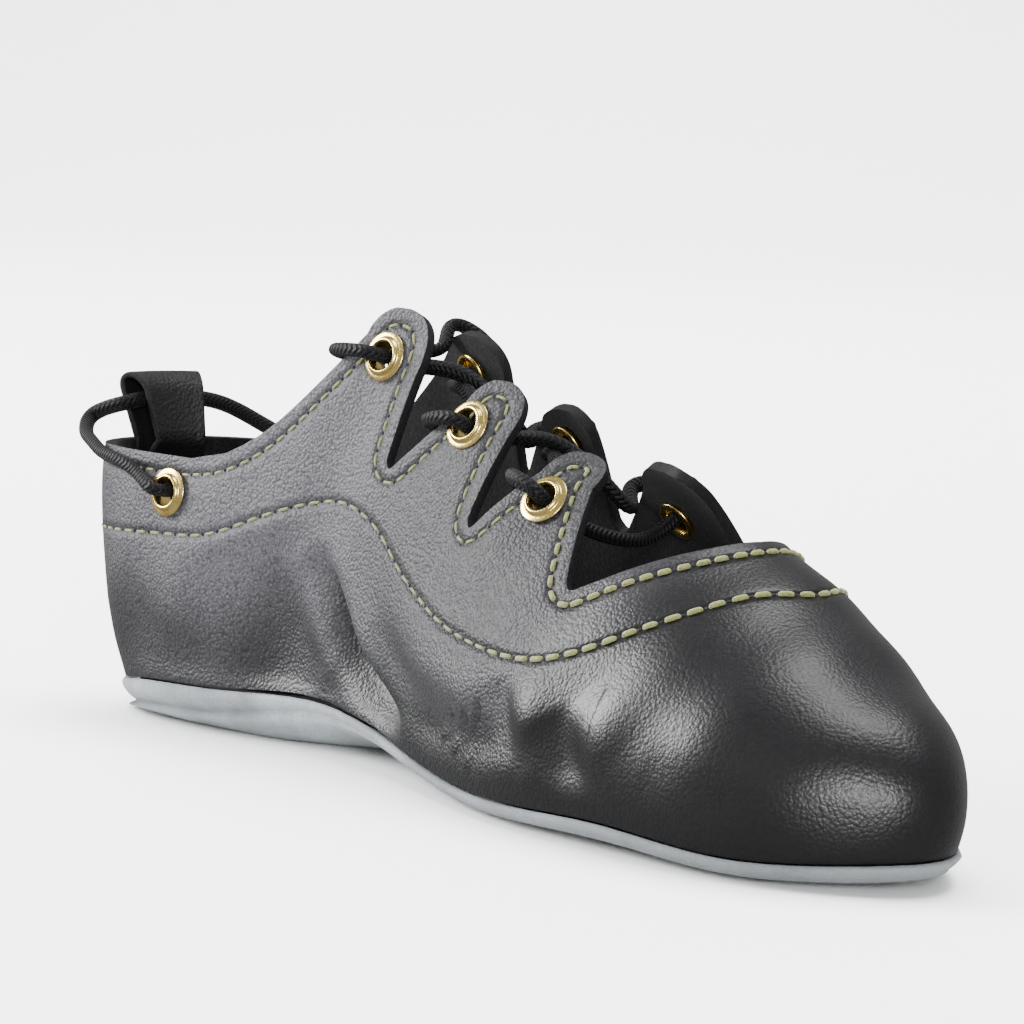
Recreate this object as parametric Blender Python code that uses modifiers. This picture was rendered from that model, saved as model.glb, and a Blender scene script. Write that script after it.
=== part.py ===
"""A soft ghillie dance shoe for the left foot, standing empty on its sole.

The heel is towards -X, the toe towards +X, the medial side towards -Y and the sole at Z = 0.
All lengths are in metres. The tables hold shares of the named sizes.
"""
from math import cos, pi, radians, sin, sqrt

import bmesh
import bpy
import numpy as np
from mathutils import Matrix, Vector

GAP = 0.0003

# Last
LENGTH = 0.245
BALL_WIDTH = 0.084
INSTEP_HEIGHT = 0.088
ARCH_EDGE = 0.010
RIDGE_SPREAD = 0.28
SPREAD_REACH = 0.39

# Upper
WALL = 0.002
COLLAR_HEIGHT = INSTEP_HEIGHT * 0.608
NOTCH_DIP = 0.0011
THROAT_FRONT = 0.760
THROAT_CORNER = (0.663, 0.4875)
THROAT_SWEEP = 2.2
TIP_TURN = radians(80)

# Sole and insole
SOLE_THICKNESS = 0.0024
HEEL_THICKNESS = 0.0052
HEEL_BREAST = (0.20, 0.37)
SOLE_PROUD = 0.0008
ARCH_LIFT = 0.0012
ARCH_SPAN = (0.27, 0.60)
TOE_SPRING = 0.0015
SPRING_START = 0.86
FLAT_FROM = 0.45
SPINE_ENDS = (0.14, 0.86)
SOLE_COLUMNS = 38
INSOLE_THICKNESS = 0.0012
INSOLE_INSET = 0.003
INSOLE_SEAT = 0.0005

# Eyelets
EYELET_BORE = 0.0026
EYELET_BARREL = 0.0031
EYELET_FLANGE = 0.0048
EYELET_ROLL = 0.0009
EYELET_SEAT = 0.0005
INNER_FLANGE = 0.0042
INNER_SEAT = 0.0008
HOLE_CLEARANCE = 0.0004
EYELET_SIDES = 12
EYELET_TOP = EYELET_SEAT + EYELET_ROLL
INNER_END = -WALL - INNER_SEAT - EYELET_ROLL * 0.6

# Heel pull loop
LOOP_WIDTH = 0.018
LOOP_HEIGHT = COLLAR_HEIGHT + 0.0135
LOOP_FOOT = COLLAR_HEIGHT - 0.0125
LOOP_THICKNESS = 0.0012
LOOP_SPREAD = 0.0060
LOOP_LEAN = 0.4

# Laces
LACE_DIAMETER = 0.0026
LACE_STEP = 0.0034
LACE_TURN = 0.0031
LACE_OVER = EYELET_TOP + GAP + LACE_DIAMETER / 2
LACE_UNDER = LACE_DIAMETER / 2 + 0.0012
BAR_SAG = (0.002, -0.0025)
CROSS_LIFT = 0.0032

WELD = 1e-6

# Stations round the sole edge, from the heel along the medial side to the toe and back
STATION_COLUMNS = ("x", "y", "edge", "swell", "rise", "top", "crown")
STATIONS = {
    "heel_back":           (0.068, -0.010, 0.62, 0.256, 0.74, 0.110, 0.30),
    "heel_corner_medial":  (0.094, -0.178, 0.64, 0.226, 0.70, 0.125, 0.30),
    "heel_medial":         (0.155, -0.262, 0.84, 0.107, 0.52, 0.205, 0.30),
    "waist_medial":        (0.250, -0.252, 0.96, 0.065, 0.45, 0.305, 0.30),
    "arch":                (0.365, -0.215, 1.10, 0.060, 0.40, 0.415, 0.30),
    "joint_rear_medial":   (0.500, -0.280, 0.64, 0.089, 0.40, 0.540, 0.30),
    "joint_medial":        (0.640, -0.382, 0.43, 0.095, 0.45, 0.680, 0.35),
    "ball_medial":         (0.760, -0.398, 0.54, 0.083, 0.50, 0.770, 0.45),
    "toe_side_medial":     (0.870, -0.365, 0.42, 0.071, 0.55, 0.835, 0.55),
    "toe_corner_medial":   (0.944, -0.235, 0.52, 0.060, 0.60, 0.865, 0.60),
    "toe_tip":             (0.974, -0.080, 0.60, 0.071, 0.60, 0.870, 0.60),
    "toe_corner_lateral":  (0.936,  0.100, 0.56, 0.060, 0.60, 0.865, 0.60),
    "little_toe":          (0.840,  0.255, 0.46, 0.054, 0.60, 0.825, 0.55),
    "ball_lateral":        (0.720,  0.370, 0.42, 0.071, 0.50, 0.740, 0.50),
    "joint_lateral":       (0.600,  0.400, 0.42, 0.071, 0.45, 0.650, 0.35),
    "waist_front_lateral": (0.460,  0.350, 0.45, 0.060, 0.40, 0.510, 0.20),
    "waist_lateral":       (0.330,  0.295, 0.55, 0.060, 0.40, 0.385, 0.20),
    "waist_rear_lateral":  (0.230,  0.272, 0.65, 0.077, 0.45, 0.285, 0.25),
    "heel_lateral":        (0.145,  0.255, 0.70, 0.107, 0.52, 0.205, 0.30),
    "heel_corner_lateral": (0.094,  0.168, 0.64, 0.226, 0.70, 0.125, 0.30),
}
# The ridge of the instep, from over the heel to the toe
RIDGE_COLUMNS = ("x", "y", "height")
RIDGE = (
    (0.10,  0.00, 1.020),
    (0.25,  0.00, 1.050),
    (0.37, -0.02, 1.050),
    (0.49, -0.02, 0.925),
    (0.61, -0.01, 0.775),
    (0.72,  0.01, 0.645),
    (0.82,  0.01, 0.515),
    (0.90, -0.02, 0.380),
)
# The lace tabs, by column and height: where each side starts, its shoulders, its tip and its eyelet
TAB_COLUMNS = ("rear foot", "rear shoulder", "tip", "front shoulder", "front foot", "eyelet", "rear sweep")
MEDIAL_TABS = {
    "top":    ((0.190, 0.608), (0.336, 0.923), (0.357, 0.985), (0.404, 0.860), (0.407, 0.665), (0.364, 0.878), 2.0),
    "middle": ((0.417, 0.657), (0.463, 0.792), (0.478, 0.858), (0.517, 0.761), (0.524, 0.580), (0.478, 0.760), 1.0),
    "front":  ((0.535, 0.568), (0.563, 0.688), (0.575, 0.735), (0.607, 0.670), (0.647, 0.500), (0.582, 0.636), 1.0),
}
LATERAL_TABS = {
    "top":    ((0.190, 0.608), (0.327, 0.894), (0.357, 0.934), (0.399, 0.847), (0.403, 0.640), (0.360, 0.850), 1.5),
    "middle": ((0.413, 0.635), (0.443, 0.764), (0.472, 0.802), (0.501, 0.744), (0.505, 0.560), (0.473, 0.727), 1.0),
    "front":  ((0.517, 0.545), (0.549, 0.659), (0.590, 0.718), (0.637, 0.648), (0.649, 0.500), (0.583, 0.601), 1.0),
}
HEEL_EYELET = (0.176, 0.526)
# How far up the rear edge of each tab its lace turns inward, as a share of that edge
TURN_AT = {"top": 0.86, "middle": 0.74, "front": 0.76}
# The lace round the back of the heel, through the pull loop, from the medial side
HEEL_LACE_COLUMNS = ("x", "y", "height")
HEEL_LACE = (
    (0.1550, -0.293, 0.556),
    (0.1350, -0.296, 0.578),
    (0.1000, -0.281, 0.589),
    (0.0650, -0.248, 0.609),
    (0.0370, -0.207, 0.628),
    (0.0250, -0.165, 0.655),
    (0.0380, -0.148, 0.676),
    (0.0525, -0.118, 0.692),
    (0.0500, -0.070, 0.698),
    (0.0485,  0.000, 0.700),
    (0.0500,  0.070, 0.700),
    (0.0545,  0.122, 0.695),
    (0.0600,  0.192, 0.674),
    (0.0760,  0.246, 0.640),
    (0.1020,  0.295, 0.598),
    (0.1390,  0.303, 0.557),
)

# Colours
BLACK_LEATHER = (0.030, 0.030, 0.033, 1)
SUEDE = (0.60, 0.63, 0.66, 1)
LINING = (0.020, 0.020, 0.022, 1)
BRASS = (0.80, 0.66, 0.36, 1)
LACE_BLACK = (0.012, 0.012, 0.013, 1)

MEDIAL, LATERAL = -1, 1
SIDE_NAMES = {MEDIAL: "medial", LATERAL: "lateral"}
TABS = {MEDIAL: MEDIAL_TABS, LATERAL: LATERAL_TABS}
TAB_ACROSS = (11, 8, 8)
WRAP = 4


class SmoothTable:
    """A natural cubic through the rows of a table, each row at its place."""

    def __init__(self, places, rows):
        self.places = np.asarray(places, float)
        self.rows = np.asarray(rows, float)
        count, gap = len(self.places), np.diff(self.places)
        matrix, right = np.eye(count), np.zeros_like(self.rows)
        slope = np.diff(self.rows, axis=0) / gap[:, None]
        for i in range(1, count - 1):
            matrix[i, i - 1:i + 2] = gap[i - 1], 2 * (gap[i - 1] + gap[i]), gap[i]
            right[i] = 6 * (slope[i] - slope[i - 1])
        self.bend = np.linalg.solve(matrix, right)

    def at(self, where):
        where = np.atleast_1d(where).astype(float)
        i = np.clip(np.searchsorted(self.places, where, side="right") - 1, 0, len(self.places) - 2)
        gap = (self.places[i + 1] - self.places[i])[:, None]
        after = (where - self.places[i])[:, None] / gap
        before = 1 - after
        curved = (before**3 - before) * self.bend[i] + (after**3 - after) * self.bend[i + 1]
        return before * self.rows[i] + after * self.rows[i + 1] + curved * gap**2 / 6


def closed_table(rows):
    """The stations as a closed smooth table by distance round the edge, with that distance for each."""
    rows = np.array(rows)
    plan = rows[:, :2] * (LENGTH, BALL_WIDTH)
    steps = np.linalg.norm(np.roll(plan, -1, axis=0) - plan, axis=1)
    places = np.concatenate([[0], np.cumsum(steps)])
    turn = np.arange(-WRAP, len(rows) + WRAP + 1)
    wrapped = places[:-1][turn % len(rows)] + places[-1] * (turn // len(rows))
    return SmoothTable(wrapped, rows[turn % len(rows)]), places


EDGE, EDGE_PLACES = closed_table(list(STATIONS.values()))
TOE = EDGE_PLACES[list(STATIONS).index("toe_tip")]
ROUND = EDGE_PLACES[-1]
RIDGE_LINE = SmoothTable([row[0] for row in RIDGE], [row[1:] for row in RIDGE])
X, Y, EDGE_HEIGHT, SWELL, RISE, TOP, CROWN = range(len(STATION_COLUMNS))


def bisect(low, high, is_below):
    """The value between low and high where is_below turns false, for whole arrays."""
    for _ in range(40):
        middle = (low + high) / 2
        below = is_below(middle)
        low, high = np.where(below, middle, low), np.where(below, high, middle)
    return (low + high) / 2


def place_where(side, column, share):
    """The place round the edge, on one side, where a station column reaches a share."""
    share = np.atleast_1d(share).astype(float)
    start = np.zeros_like(share) if side == MEDIAL else np.full_like(share, ROUND)
    return bisect(start, np.full_like(share, TOE), lambda p: EDGE.at(p)[:, column] < share)


def edge_points(place):
    """Points of the sole edge, and the flat direction outward from each."""
    step = LENGTH * 1e-3
    plan = [EDGE.at(place + d)[:, :2] * (LENGTH, BALL_WIDTH) for d in (-step, 0, step)]
    along = plan[2] - plan[0]
    along /= np.linalg.norm(along, axis=1)[:, None]
    height = EDGE.at(place)[:, EDGE_HEIGHT] * ARCH_EDGE
    outward = np.column_stack([along[:, 1], -along[:, 0], np.zeros(len(along))])
    return np.column_stack([plan[1], height]), outward


def ridge_points(share):
    """Points of the ridge at shares of the length, and its slope there."""
    step = 1e-3
    here, ahead = RIDGE_LINE.at(share), RIDGE_LINE.at(share + step)
    slope = (ahead - here)[:, 1] * INSTEP_HEIGHT / (step * LENGTH)
    return np.column_stack([share * LENGTH, here * (BALL_WIDTH, INSTEP_HEIGHT)]), slope


def profiles(place, top=None):
    """The four control points of the wall's section at each place, from the sole edge to the ridge."""
    place = np.atleast_1d(place).astype(float)
    station = EDGE.at(place)
    foot, outward = edge_points(place)
    share = station[:, TOP] if top is None else top
    ridge, slope = ridge_points(share)
    spread = np.clip((THROAT_FRONT - share) / SPREAD_REACH, 0, 1)**1.5
    ridge[:, 1] += RIDGE_SPREAD * spread * foot[:, 1]
    rise = (ridge - foot)[:, 2] * station[:, RISE]
    low = foot + outward * station[:, SWELL:SWELL + 1] * BALL_WIDTH
    low[:, 2] += rise
    inward = foot - ridge
    inward[:, 2] = slope * inward[:, 0]
    return foot, low, ridge + inward * station[:, CROWN:CROWN + 1], ridge


def on_last(place, up, top=None):
    """Points on the outside of the last: up runs from 0 at the sole edge to 1 at the ridge."""
    place, up = np.broadcast_arrays(np.atleast_1d(place).astype(float), np.atleast_1d(up))
    foot, low, high, ridge = profiles(place, top)
    up = up[:, None]
    down = 1 - up
    return down**3 * foot + 3 * down**2 * up * low + 3 * down * up**2 * high + up**3 * ridge


def up_at_height(place, height):
    """How far up each section reaches a height above the floor."""
    place, height = np.broadcast_arrays(np.atleast_1d(place).astype(float), np.atleast_1d(height))
    start = np.zeros(len(place))
    return bisect(start, start + 1, lambda up: on_last(place, up)[:, 2] < height)


def surface_mark(side, column, height):
    """A point on the upper's outside and its outward normal, by column and height shares."""
    place = place_where(side, X, column)
    up = up_at_height(place, height * INSTEP_HEIGHT)
    step = 1e-3
    here = on_last(place, up)[0]
    across = on_last(place + LENGTH * step, up)[0] - here
    upward = on_last(place, up + step)[0] - here
    normal = Vector(np.cross(across, upward)).normalized()
    return Vector(here), normal


class Sheet:
    """Grids of points welded into one mesh."""

    def __init__(self):
        self.work = bmesh.new()

    def add(self, grid):
        """Adds a grid of rows of points, whose normal is first direction x second direction."""
        rows = [[self.work.verts.new(point) for point in row] for row in grid]
        for here, ahead in zip(rows, rows[1:]):
            for k in range(len(here) - 1):
                self.work.faces.new((here[k], ahead[k], ahead[k + 1], here[k + 1]))

    def build(self, name, material):
        bmesh.ops.remove_doubles(self.work, verts=self.work.verts, dist=WELD)
        mesh = bpy.data.meshes.new(name)
        self.work.to_mesh(mesh)
        self.work.free()
        return add_object(name, mesh, material)


def add_object(name, data, material, collection=None):
    """Links an object, smooth and with its material, under the shoe's origin."""
    thing = bpy.data.objects.new(name, data)
    (collection or shoe).objects.link(thing)
    if material:
        data.materials.append(material)
    if isinstance(data, bpy.types.Mesh):
        data.shade_smooth()
    return thing


def make_material(name, colour, roughness, metallic=0.0):
    material = bpy.data.materials.new(name)
    material.use_nodes = True
    shader = material.node_tree.nodes["Principled BSDF"]
    shader.inputs["Base Color"].default_value = colour
    shader.inputs["Roughness"].default_value = roughness
    shader.inputs["Metallic"].default_value = metallic
    material.diffuse_color = colour
    return material


def eased(x, span):
    """0 before the span, 1 after it, with a smooth step between."""
    share = np.clip((x - span[0]) / (span[1] - span[0]), 0, 1)
    return share * share * (3 - 2 * share)


# Upper

def tab_rows(tab, steps):
    """The two sides of a tab from its foot to its tip: column and height shares at even steps."""
    rear_foot, rear, tip, front, front_foot, _, sweep = np.array(tab, dtype=object)
    rear_foot, rear, tip, front, front_foot = (np.array(p) for p in (rear_foot, rear, tip, front, front_foot))
    sides = []
    for step in np.linspace(0, 2, 2 * steps + 1):
        if step <= 1:
            swept = np.array((step**(1 / sweep), step))
            sides.append((rear_foot + (rear - rear_foot) * swept, front_foot + (front - front_foot) * step))
        else:
            turn = np.array((1 - cos(TIP_TURN * (step - 1)), sin(TIP_TURN * (step - 1))))
            sides.append((rear + (tip - rear) * turn, front + (tip - front) * turn))
    return sides


def between(first, last, count):
    """Column and height shares on a straight line, in even steps."""
    return np.array(first) + (np.array(last) - first) * np.linspace(0, 1, count)[:, None]


def marks_on(side, marks):
    """Points on the last at column and height shares."""
    place = place_where(side, X, marks[:, 0])
    return on_last(place, up_at_height(place, marks[:, 1] * INSTEP_HEIGHT))


def top_line(side):
    """Places and tops of the wall's columns from the heel to the corner of the throat, block by block."""
    start = 0.0 if side == MEDIAL else ROUND
    tabs = list(TABS[side].values())
    place = np.linspace(start, place_where(side, X, tabs[0][0][0])[0], 9)
    yield place, up_at_height(place, COLLAR_HEIGHT)
    feet = [tab[0] for tab in tabs[1:]] + [THROAT_CORNER]
    for tab, across, next_foot in zip(tabs, TAB_ACROSS, feet):
        marks = between(tab[0], tab[4], across)
        dip = (np.array(tab[4]) + next_foot) / 2 - (0, NOTCH_DIP / INSTEP_HEIGHT)
        for line in (marks, np.array((tab[4], dip, next_foot))):
            place = place_where(side, X, line[:, 0])
            yield place, up_at_height(place, line[:, 1] * INSTEP_HEIGHT)


def throat_columns(side):
    """Places and tops of the columns along the throat's curved edge, from its corner to the ridge."""
    corner, height = THROAT_CORNER
    start = place_where(side, X, corner)[0]
    end = place_where(side, TOP, THROAT_FRONT)[0]
    low = up_at_height(start, height * INSTEP_HEIGHT)[0]
    share = np.linspace(0, 1, 8)
    return end + (start - end) * (1 - share)**THROAT_SWEEP, low + (1 - low) * share


def vamp_columns(side):
    """Places and ridge shares of the columns in front of the throat: both sides meet on the ridge."""
    ends = [place_where(s, TOP, THROAT_FRONT)[0] for s in (side, MEDIAL)]
    share = np.linspace(0, 1, 14)
    place, medial = [end + (TOE - end) * share for end in ends]
    return place, EDGE.at(medial)[:, TOP]


def facing(side, grid):
    """Turns a grid so that its faces point out of the shoe on either side."""
    return grid if side == MEDIAL else grid[::-1]


def make_upper():
    """The upper's outer skin with its tabs and throat, given its wall by Solidify."""
    skin = Sheet()
    rows = np.linspace(0, 1, 8)
    for side in (MEDIAL, LATERAL):
        for tab, across in zip(TABS[side].values(), TAB_ACROSS):
            tab_grid = [marks_on(side, between(rear, front, across)) for rear, front in tab_rows(tab, 4)]
            skin.add(facing(side, np.array(tab_grid).transpose(1, 0, 2)))
        blocks = [*top_line(side), throat_columns(side)]
        for place, tops in blocks:
            columns = [on_last(np.full(len(rows), p), rows * top) for p, top in zip(place, tops)]
            skin.add(facing(side, columns))
        place, ridge = vamp_columns(side)
        columns = [on_last(np.full(len(rows), p), rows, np.full(len(rows), r)) for p, r in zip(place, ridge)]
        skin.add(facing(side, columns))
    upper = skin.build("upper", black_leather)
    wall = upper.modifiers.new("wall", "SOLIDIFY")
    wall.thickness = WALL
    wall.offset = -1
    wall.use_even_offset = True
    return upper


# Sole and insole

def arch_at(x):
    """0 under the heel and the ball, 1 in the middle of the arch."""
    return np.sin(pi * np.clip((x - ARCH_SPAN[0]) / (ARCH_SPAN[1] - ARCH_SPAN[0]), 0, 1))**2


def lift_at(x):
    """Height of the underside along the middle of the sole: flat under heel and ball."""
    return ARCH_LIFT * arch_at(x) + TOE_SPRING * np.clip((x - SPRING_START) / (1 - SPRING_START), 0, 1)**2


def thickness_at(x):
    return HEEL_THICKNESS + (SOLE_THICKNESS - HEEL_THICKNESS) * eased(x, HEEL_BREAST)


def sole_lines(count):
    """Lines of the sole from its edge to its spine: heel to toe on one side, back on the other."""
    share = np.linspace(0, 1, count)
    sides = [TOE * share, ROUND - (ROUND - TOE) * share]
    edges = [edge_points(place) for place in sides]
    middle = sum(foot for foot, _ in edges) / 2
    spine_x = np.clip(middle[:, 0], *(end * LENGTH for end in SPINE_ENDS))
    order = np.argsort(middle[:, 0])
    spine_y = np.interp(spine_x, middle[order, 0], middle[order, 1])
    spine = np.column_stack([spine_x, spine_y])
    foot = np.vstack([edges[0][0], edges[1][0][-2:0:-1]])
    outward = np.vstack([edges[0][1], edges[1][1][-2:0:-1]])
    return foot, outward, np.vstack([spine, spine[-2:0:-1]])


def underside(foot, x, inward):
    """Height of the sole's underside at a share of the way from its edge to its spine."""
    edge = foot[:, 2] - GAP - thickness_at(foot[:, 0] / LENGTH)
    middle = lift_at(x / LENGTH)
    reach = FLAT_FROM + (1 - FLAT_FROM) * arch_at(x / LENGTH)
    rise = np.clip(1 - inward / reach, 0, 1)**2
    return middle + (edge - middle) * rise


def ring(lines, inward, offset, layer, above=0.0):
    """One ring of points, a share of the way inward: layer is a share of the sole's thickness."""
    foot, outward, spine = lines
    inward = np.broadcast_to(inward, len(foot))
    plan = foot[:, :2] + (spine - foot[:, :2]) * inward[:, None]
    thick = thickness_at(plan[:, 0] / LENGTH)
    level = underside(foot, plan[:, 0], inward) + thick * layer + above
    return np.column_stack([plan + outward[:, :2] * np.reshape(offset, (-1, 1)), level])


def closed_rings(name, rings, material):
    """A closed solid from rings that run from the middle of its top, round its edge, to the middle below."""
    solid = Sheet()
    grid = np.array([np.vstack([one, one[:1]]) for one in rings])
    solid.add(grid.transpose(1, 0, 2)[:, ::-1])
    return solid.build(name, material)


def make_outsole():
    lines = sole_lines(SOLE_COLUMNS)
    thick = thickness_at(lines[0][:, 0] / LENGTH)
    steps = (1.0, FLAT_FROM, 0.2)
    rings = [ring(lines, share, 0, 1) for share in steps]
    rings += [ring(lines, 0, SOLE_PROUD, 1), ring(lines, 0, SOLE_PROUD, 0.45)]
    rings += [ring(lines, 0, SOLE_PROUD - thick * 0.12, 0.15), ring(lines, 0, -thick * 0.5, 0)]
    rings += [ring(lines, share, 0, 0) for share in reversed(steps)]
    return closed_rings("outsole", rings, suede)


def make_insole():
    lines = sole_lines(SOLE_COLUMNS)
    foot, _, spine = lines
    reach = INSOLE_INSET / np.linalg.norm(spine - foot[:, :2], axis=1)
    steps = (reach, FLAT_FROM, 1.0)
    rings = [ring(lines, inward, 0, 1, INSOLE_SEAT + INSOLE_THICKNESS) for inward in reversed(steps)]
    rings += [ring(lines, inward, 0, 1, INSOLE_SEAT) for inward in steps]
    return closed_rings("insole", rings, lining)


# Heel pull loop

def inside_heel(across, depth, height):
    """A point inside the back wall at a distance across the shoe, or leaning back above that wall."""
    depth -= LOOP_LEAN * max(height - COLLAR_HEIGHT, 0)
    search = np.linspace(-0.1, 0.1, 41) * ROUND
    wall = on_last(search, up_at_height(search, min(height, COLLAR_HEIGHT)))
    inward = -edge_points(search)[1]
    line = np.column_stack([wall[:, :2], inward[:, :2]])[::-1]
    x, toward_x, toward_y = [np.interp(across, line[:, 1], line[:, k]) for k in (0, 2, 3)]
    return x + toward_x * depth, across + toward_y * depth, height


def make_pull_loop():
    """A folded strip inside the heel that stands above the collar, open from side to side."""
    back = WALL * 1.1 + GAP + LOOP_THICKNESS / 2
    fold = LOOP_SPREAD / 2
    turn_height = LOOP_HEIGHT - fold - LOOP_THICKNESS / 2
    rows = [(back, height) for height in (LOOP_FOOT, (LOOP_FOOT + COLLAR_HEIGHT) / 2, COLLAR_HEIGHT)]
    for turn in np.linspace(0, pi, 7):
        rows.append((back + fold * (1 - cos(turn)), turn_height + fold * sin(turn)))
    rows.append((back + LOOP_SPREAD * 0.9, COLLAR_HEIGHT))
    rows.append((back + LOOP_THICKNESS + GAP, (LOOP_FOOT + COLLAR_HEIGHT) / 2))
    rows.append((back + LOOP_THICKNESS + GAP, LOOP_FOOT))
    strip = Sheet()
    strip.add([
        [inside_heel(across, depth, height) for depth, height in rows]
        for across in np.linspace(-LOOP_WIDTH / 2, LOOP_WIDTH / 2, 7)
    ])
    loop = strip.build("heel_pull_loop", black_leather)
    leaf = loop.modifiers.new("leaf", "SOLIDIFY")
    leaf.thickness = LOOP_THICKNESS
    leaf.offset = 0
    return loop


# Eyelets

def eyelet_marks():
    """The point and outward normal of each eyelet, by side and name."""
    marks = {}
    for side in (MEDIAL, LATERAL):
        for name, tab in TABS[side].items():
            marks[side, name] = surface_mark(side, *tab[5])
        marks[side, "heel"] = surface_mark(side, *HEEL_EYELET)
    return marks


def turned(name, profile, steps):
    """A closed ring turned from a profile whose outer side runs from top to bottom."""
    mesh = bpy.data.meshes.new(name)
    count = len(profile)
    mesh.from_pydata([(r, 0, z) for r, z in profile], [(k, (k + 1) % count) for k in range(count)], [])
    ring_object = add_object(name, mesh, brass)
    screw = ring_object.modifiers.new("turn", "SCREW")
    screw.angle = 2 * pi
    screw.steps = screw.render_steps = steps
    screw.use_merge_vertices = True
    screw.merge_threshold = 1e-5
    return ring_object


def make_eyelets(upper):
    """The rolled eyelets, and their holes through the wall."""
    inner = -WALL - INNER_SEAT
    profile = [
        (EYELET_BORE, EYELET_TOP - EYELET_ROLL * 0.4),
        (EYELET_BORE + EYELET_ROLL * 0.5, EYELET_TOP),
        (EYELET_FLANGE - EYELET_ROLL * 0.8, EYELET_TOP - EYELET_ROLL * 0.15),
        (EYELET_FLANGE, EYELET_SEAT + EYELET_ROLL * 0.3),
        (EYELET_FLANGE - EYELET_ROLL * 0.2, EYELET_SEAT),
        (EYELET_BARREL, EYELET_SEAT),
        (EYELET_BARREL, inner),
        (INNER_FLANGE, inner),
        (INNER_FLANGE - EYELET_ROLL * 0.3, inner - EYELET_ROLL * 0.6),
        (EYELET_BORE, INNER_END),
    ]
    for (side, place), (point, normal) in eyelet_marks().items():
        name = f"eyelet_{SIDE_NAMES[side]}_{place}"
        pose = Matrix.Translation(point) @ normal.to_track_quat("Z", "Y").to_matrix().to_4x4()
        turned(name, profile, EYELET_SIDES).matrix_world = pose
        bpy.ops.mesh.primitive_cylinder_add(vertices=16, radius=EYELET_BARREL + HOLE_CLEARANCE, depth=WALL * 5)
        punch = bpy.context.object
        punch.name = f"punch_{name}"
        for owner in punch.users_collection:
            owner.objects.unlink(punch)
        cutters.objects.link(punch)
        punch.matrix_world = pose
        punch.hide_render = True
        punch.display_type = "WIRE"
        hole = upper.modifiers.new(f"hole_{name}", "BOOLEAN")
        hole.object = punch
        hole.operation = "DIFFERENCE"


# Laces

def smooth_route(points, step):
    """Points at even steps along a smooth curve through a route's own points."""
    points = np.array([tuple(p) for p in points])
    travel = np.concatenate([[0], np.cumsum(np.linalg.norm(np.diff(points, axis=0), axis=1))])
    count = max(int(round(travel[-1] / step)), 3) + 1
    return SmoothTable(travel, points).at(np.linspace(0, travel[-1], count))


def cord(name, points, step=LACE_STEP):
    """A round lace along a route, as a curve with filled ends."""
    route = smooth_route(points, step)
    curve = bpy.data.curves.new(name, "CURVE")
    curve.dimensions = "3D"
    curve.bevel_depth = LACE_DIAMETER / 2
    curve.bevel_resolution = 2
    curve.use_fill_caps = True
    spline = curve.splines.new("POLY")
    spline.points.add(len(route) - 1)
    for point, place in zip(spline.points, route):
        point.co = (*place, 1)
    return add_object(name, curve, lace_black)


def as_mesh(curve_object):
    """A curve object replaced by its welded mesh."""
    graph = bpy.context.evaluated_depsgraph_get()
    mesh = bpy.data.meshes.new_from_object(curve_object.evaluated_get(graph))
    work = bmesh.new()
    work.from_mesh(mesh)
    bmesh.ops.remove_doubles(work, verts=work.verts, dist=WELD)
    work.to_mesh(mesh)
    work.free()
    name, owners = curve_object.name, list(curve_object.users_collection)
    place = curve_object.matrix_world.copy()
    bpy.data.objects.remove(curve_object)
    thing = bpy.data.objects.new(name, mesh)
    for owner in owners:
        owner.objects.link(thing)
    thing.matrix_world = place
    return thing


def through(mark, height, toward):
    """A point in or over an eyelet, where a lace that comes from elsewhere leans on its barrel."""
    point, normal = mark
    pull = Vector(toward) - point
    pull -= normal * pull.dot(normal)
    lean = EYELET_BORE * cos(pi / EYELET_SIDES) - LACE_DIAMETER / 2 - GAP
    return point + normal * height + pull.normalized() * lean


def round_edge(side, name):
    """Three points that carry a lace from the outside of a tab round its rear edge to the inside."""
    rear_foot, rear, _, _, _, eyelet, sweep = TABS[side][name]
    size = np.array((LENGTH, INSTEP_HEIGHT))
    turn = TURN_AT[name]
    edge = (np.array(rear_foot) + np.subtract(rear, rear_foot) * (turn**(1 / sweep), turn)) * size
    away = edge - np.array(eyelet) * size
    away /= np.linalg.norm(away)
    over, normal = surface_mark(side, *(edge - away * LACE_TURN * 0.3) / size)
    past, _ = surface_mark(side, *(edge + away * LACE_TURN) / size)
    inside, _ = surface_mark(side, *edge / size)
    return [over + normal * LACE_OVER, past - normal * WALL / 2, inside - normal * (WALL + LACE_UNDER)]


def strand_start(marks, side, name):
    """A lace that comes out of a tab's eyelet and turns round its rear edge."""
    mark = marks[side, name]
    turn = round_edge(side, name)
    return [through(mark, -WALL / 2, turn[0]), through(mark, LACE_OVER, turn[0]), *turn]


def strand_end(marks, side, name, before):
    """A lace that goes into a tab's eyelet from the inside."""
    mark = marks[side, name]
    return [through(mark, INNER_END - LACE_DIAMETER, before), through(mark, INNER_END + GAP, before)]


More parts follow.
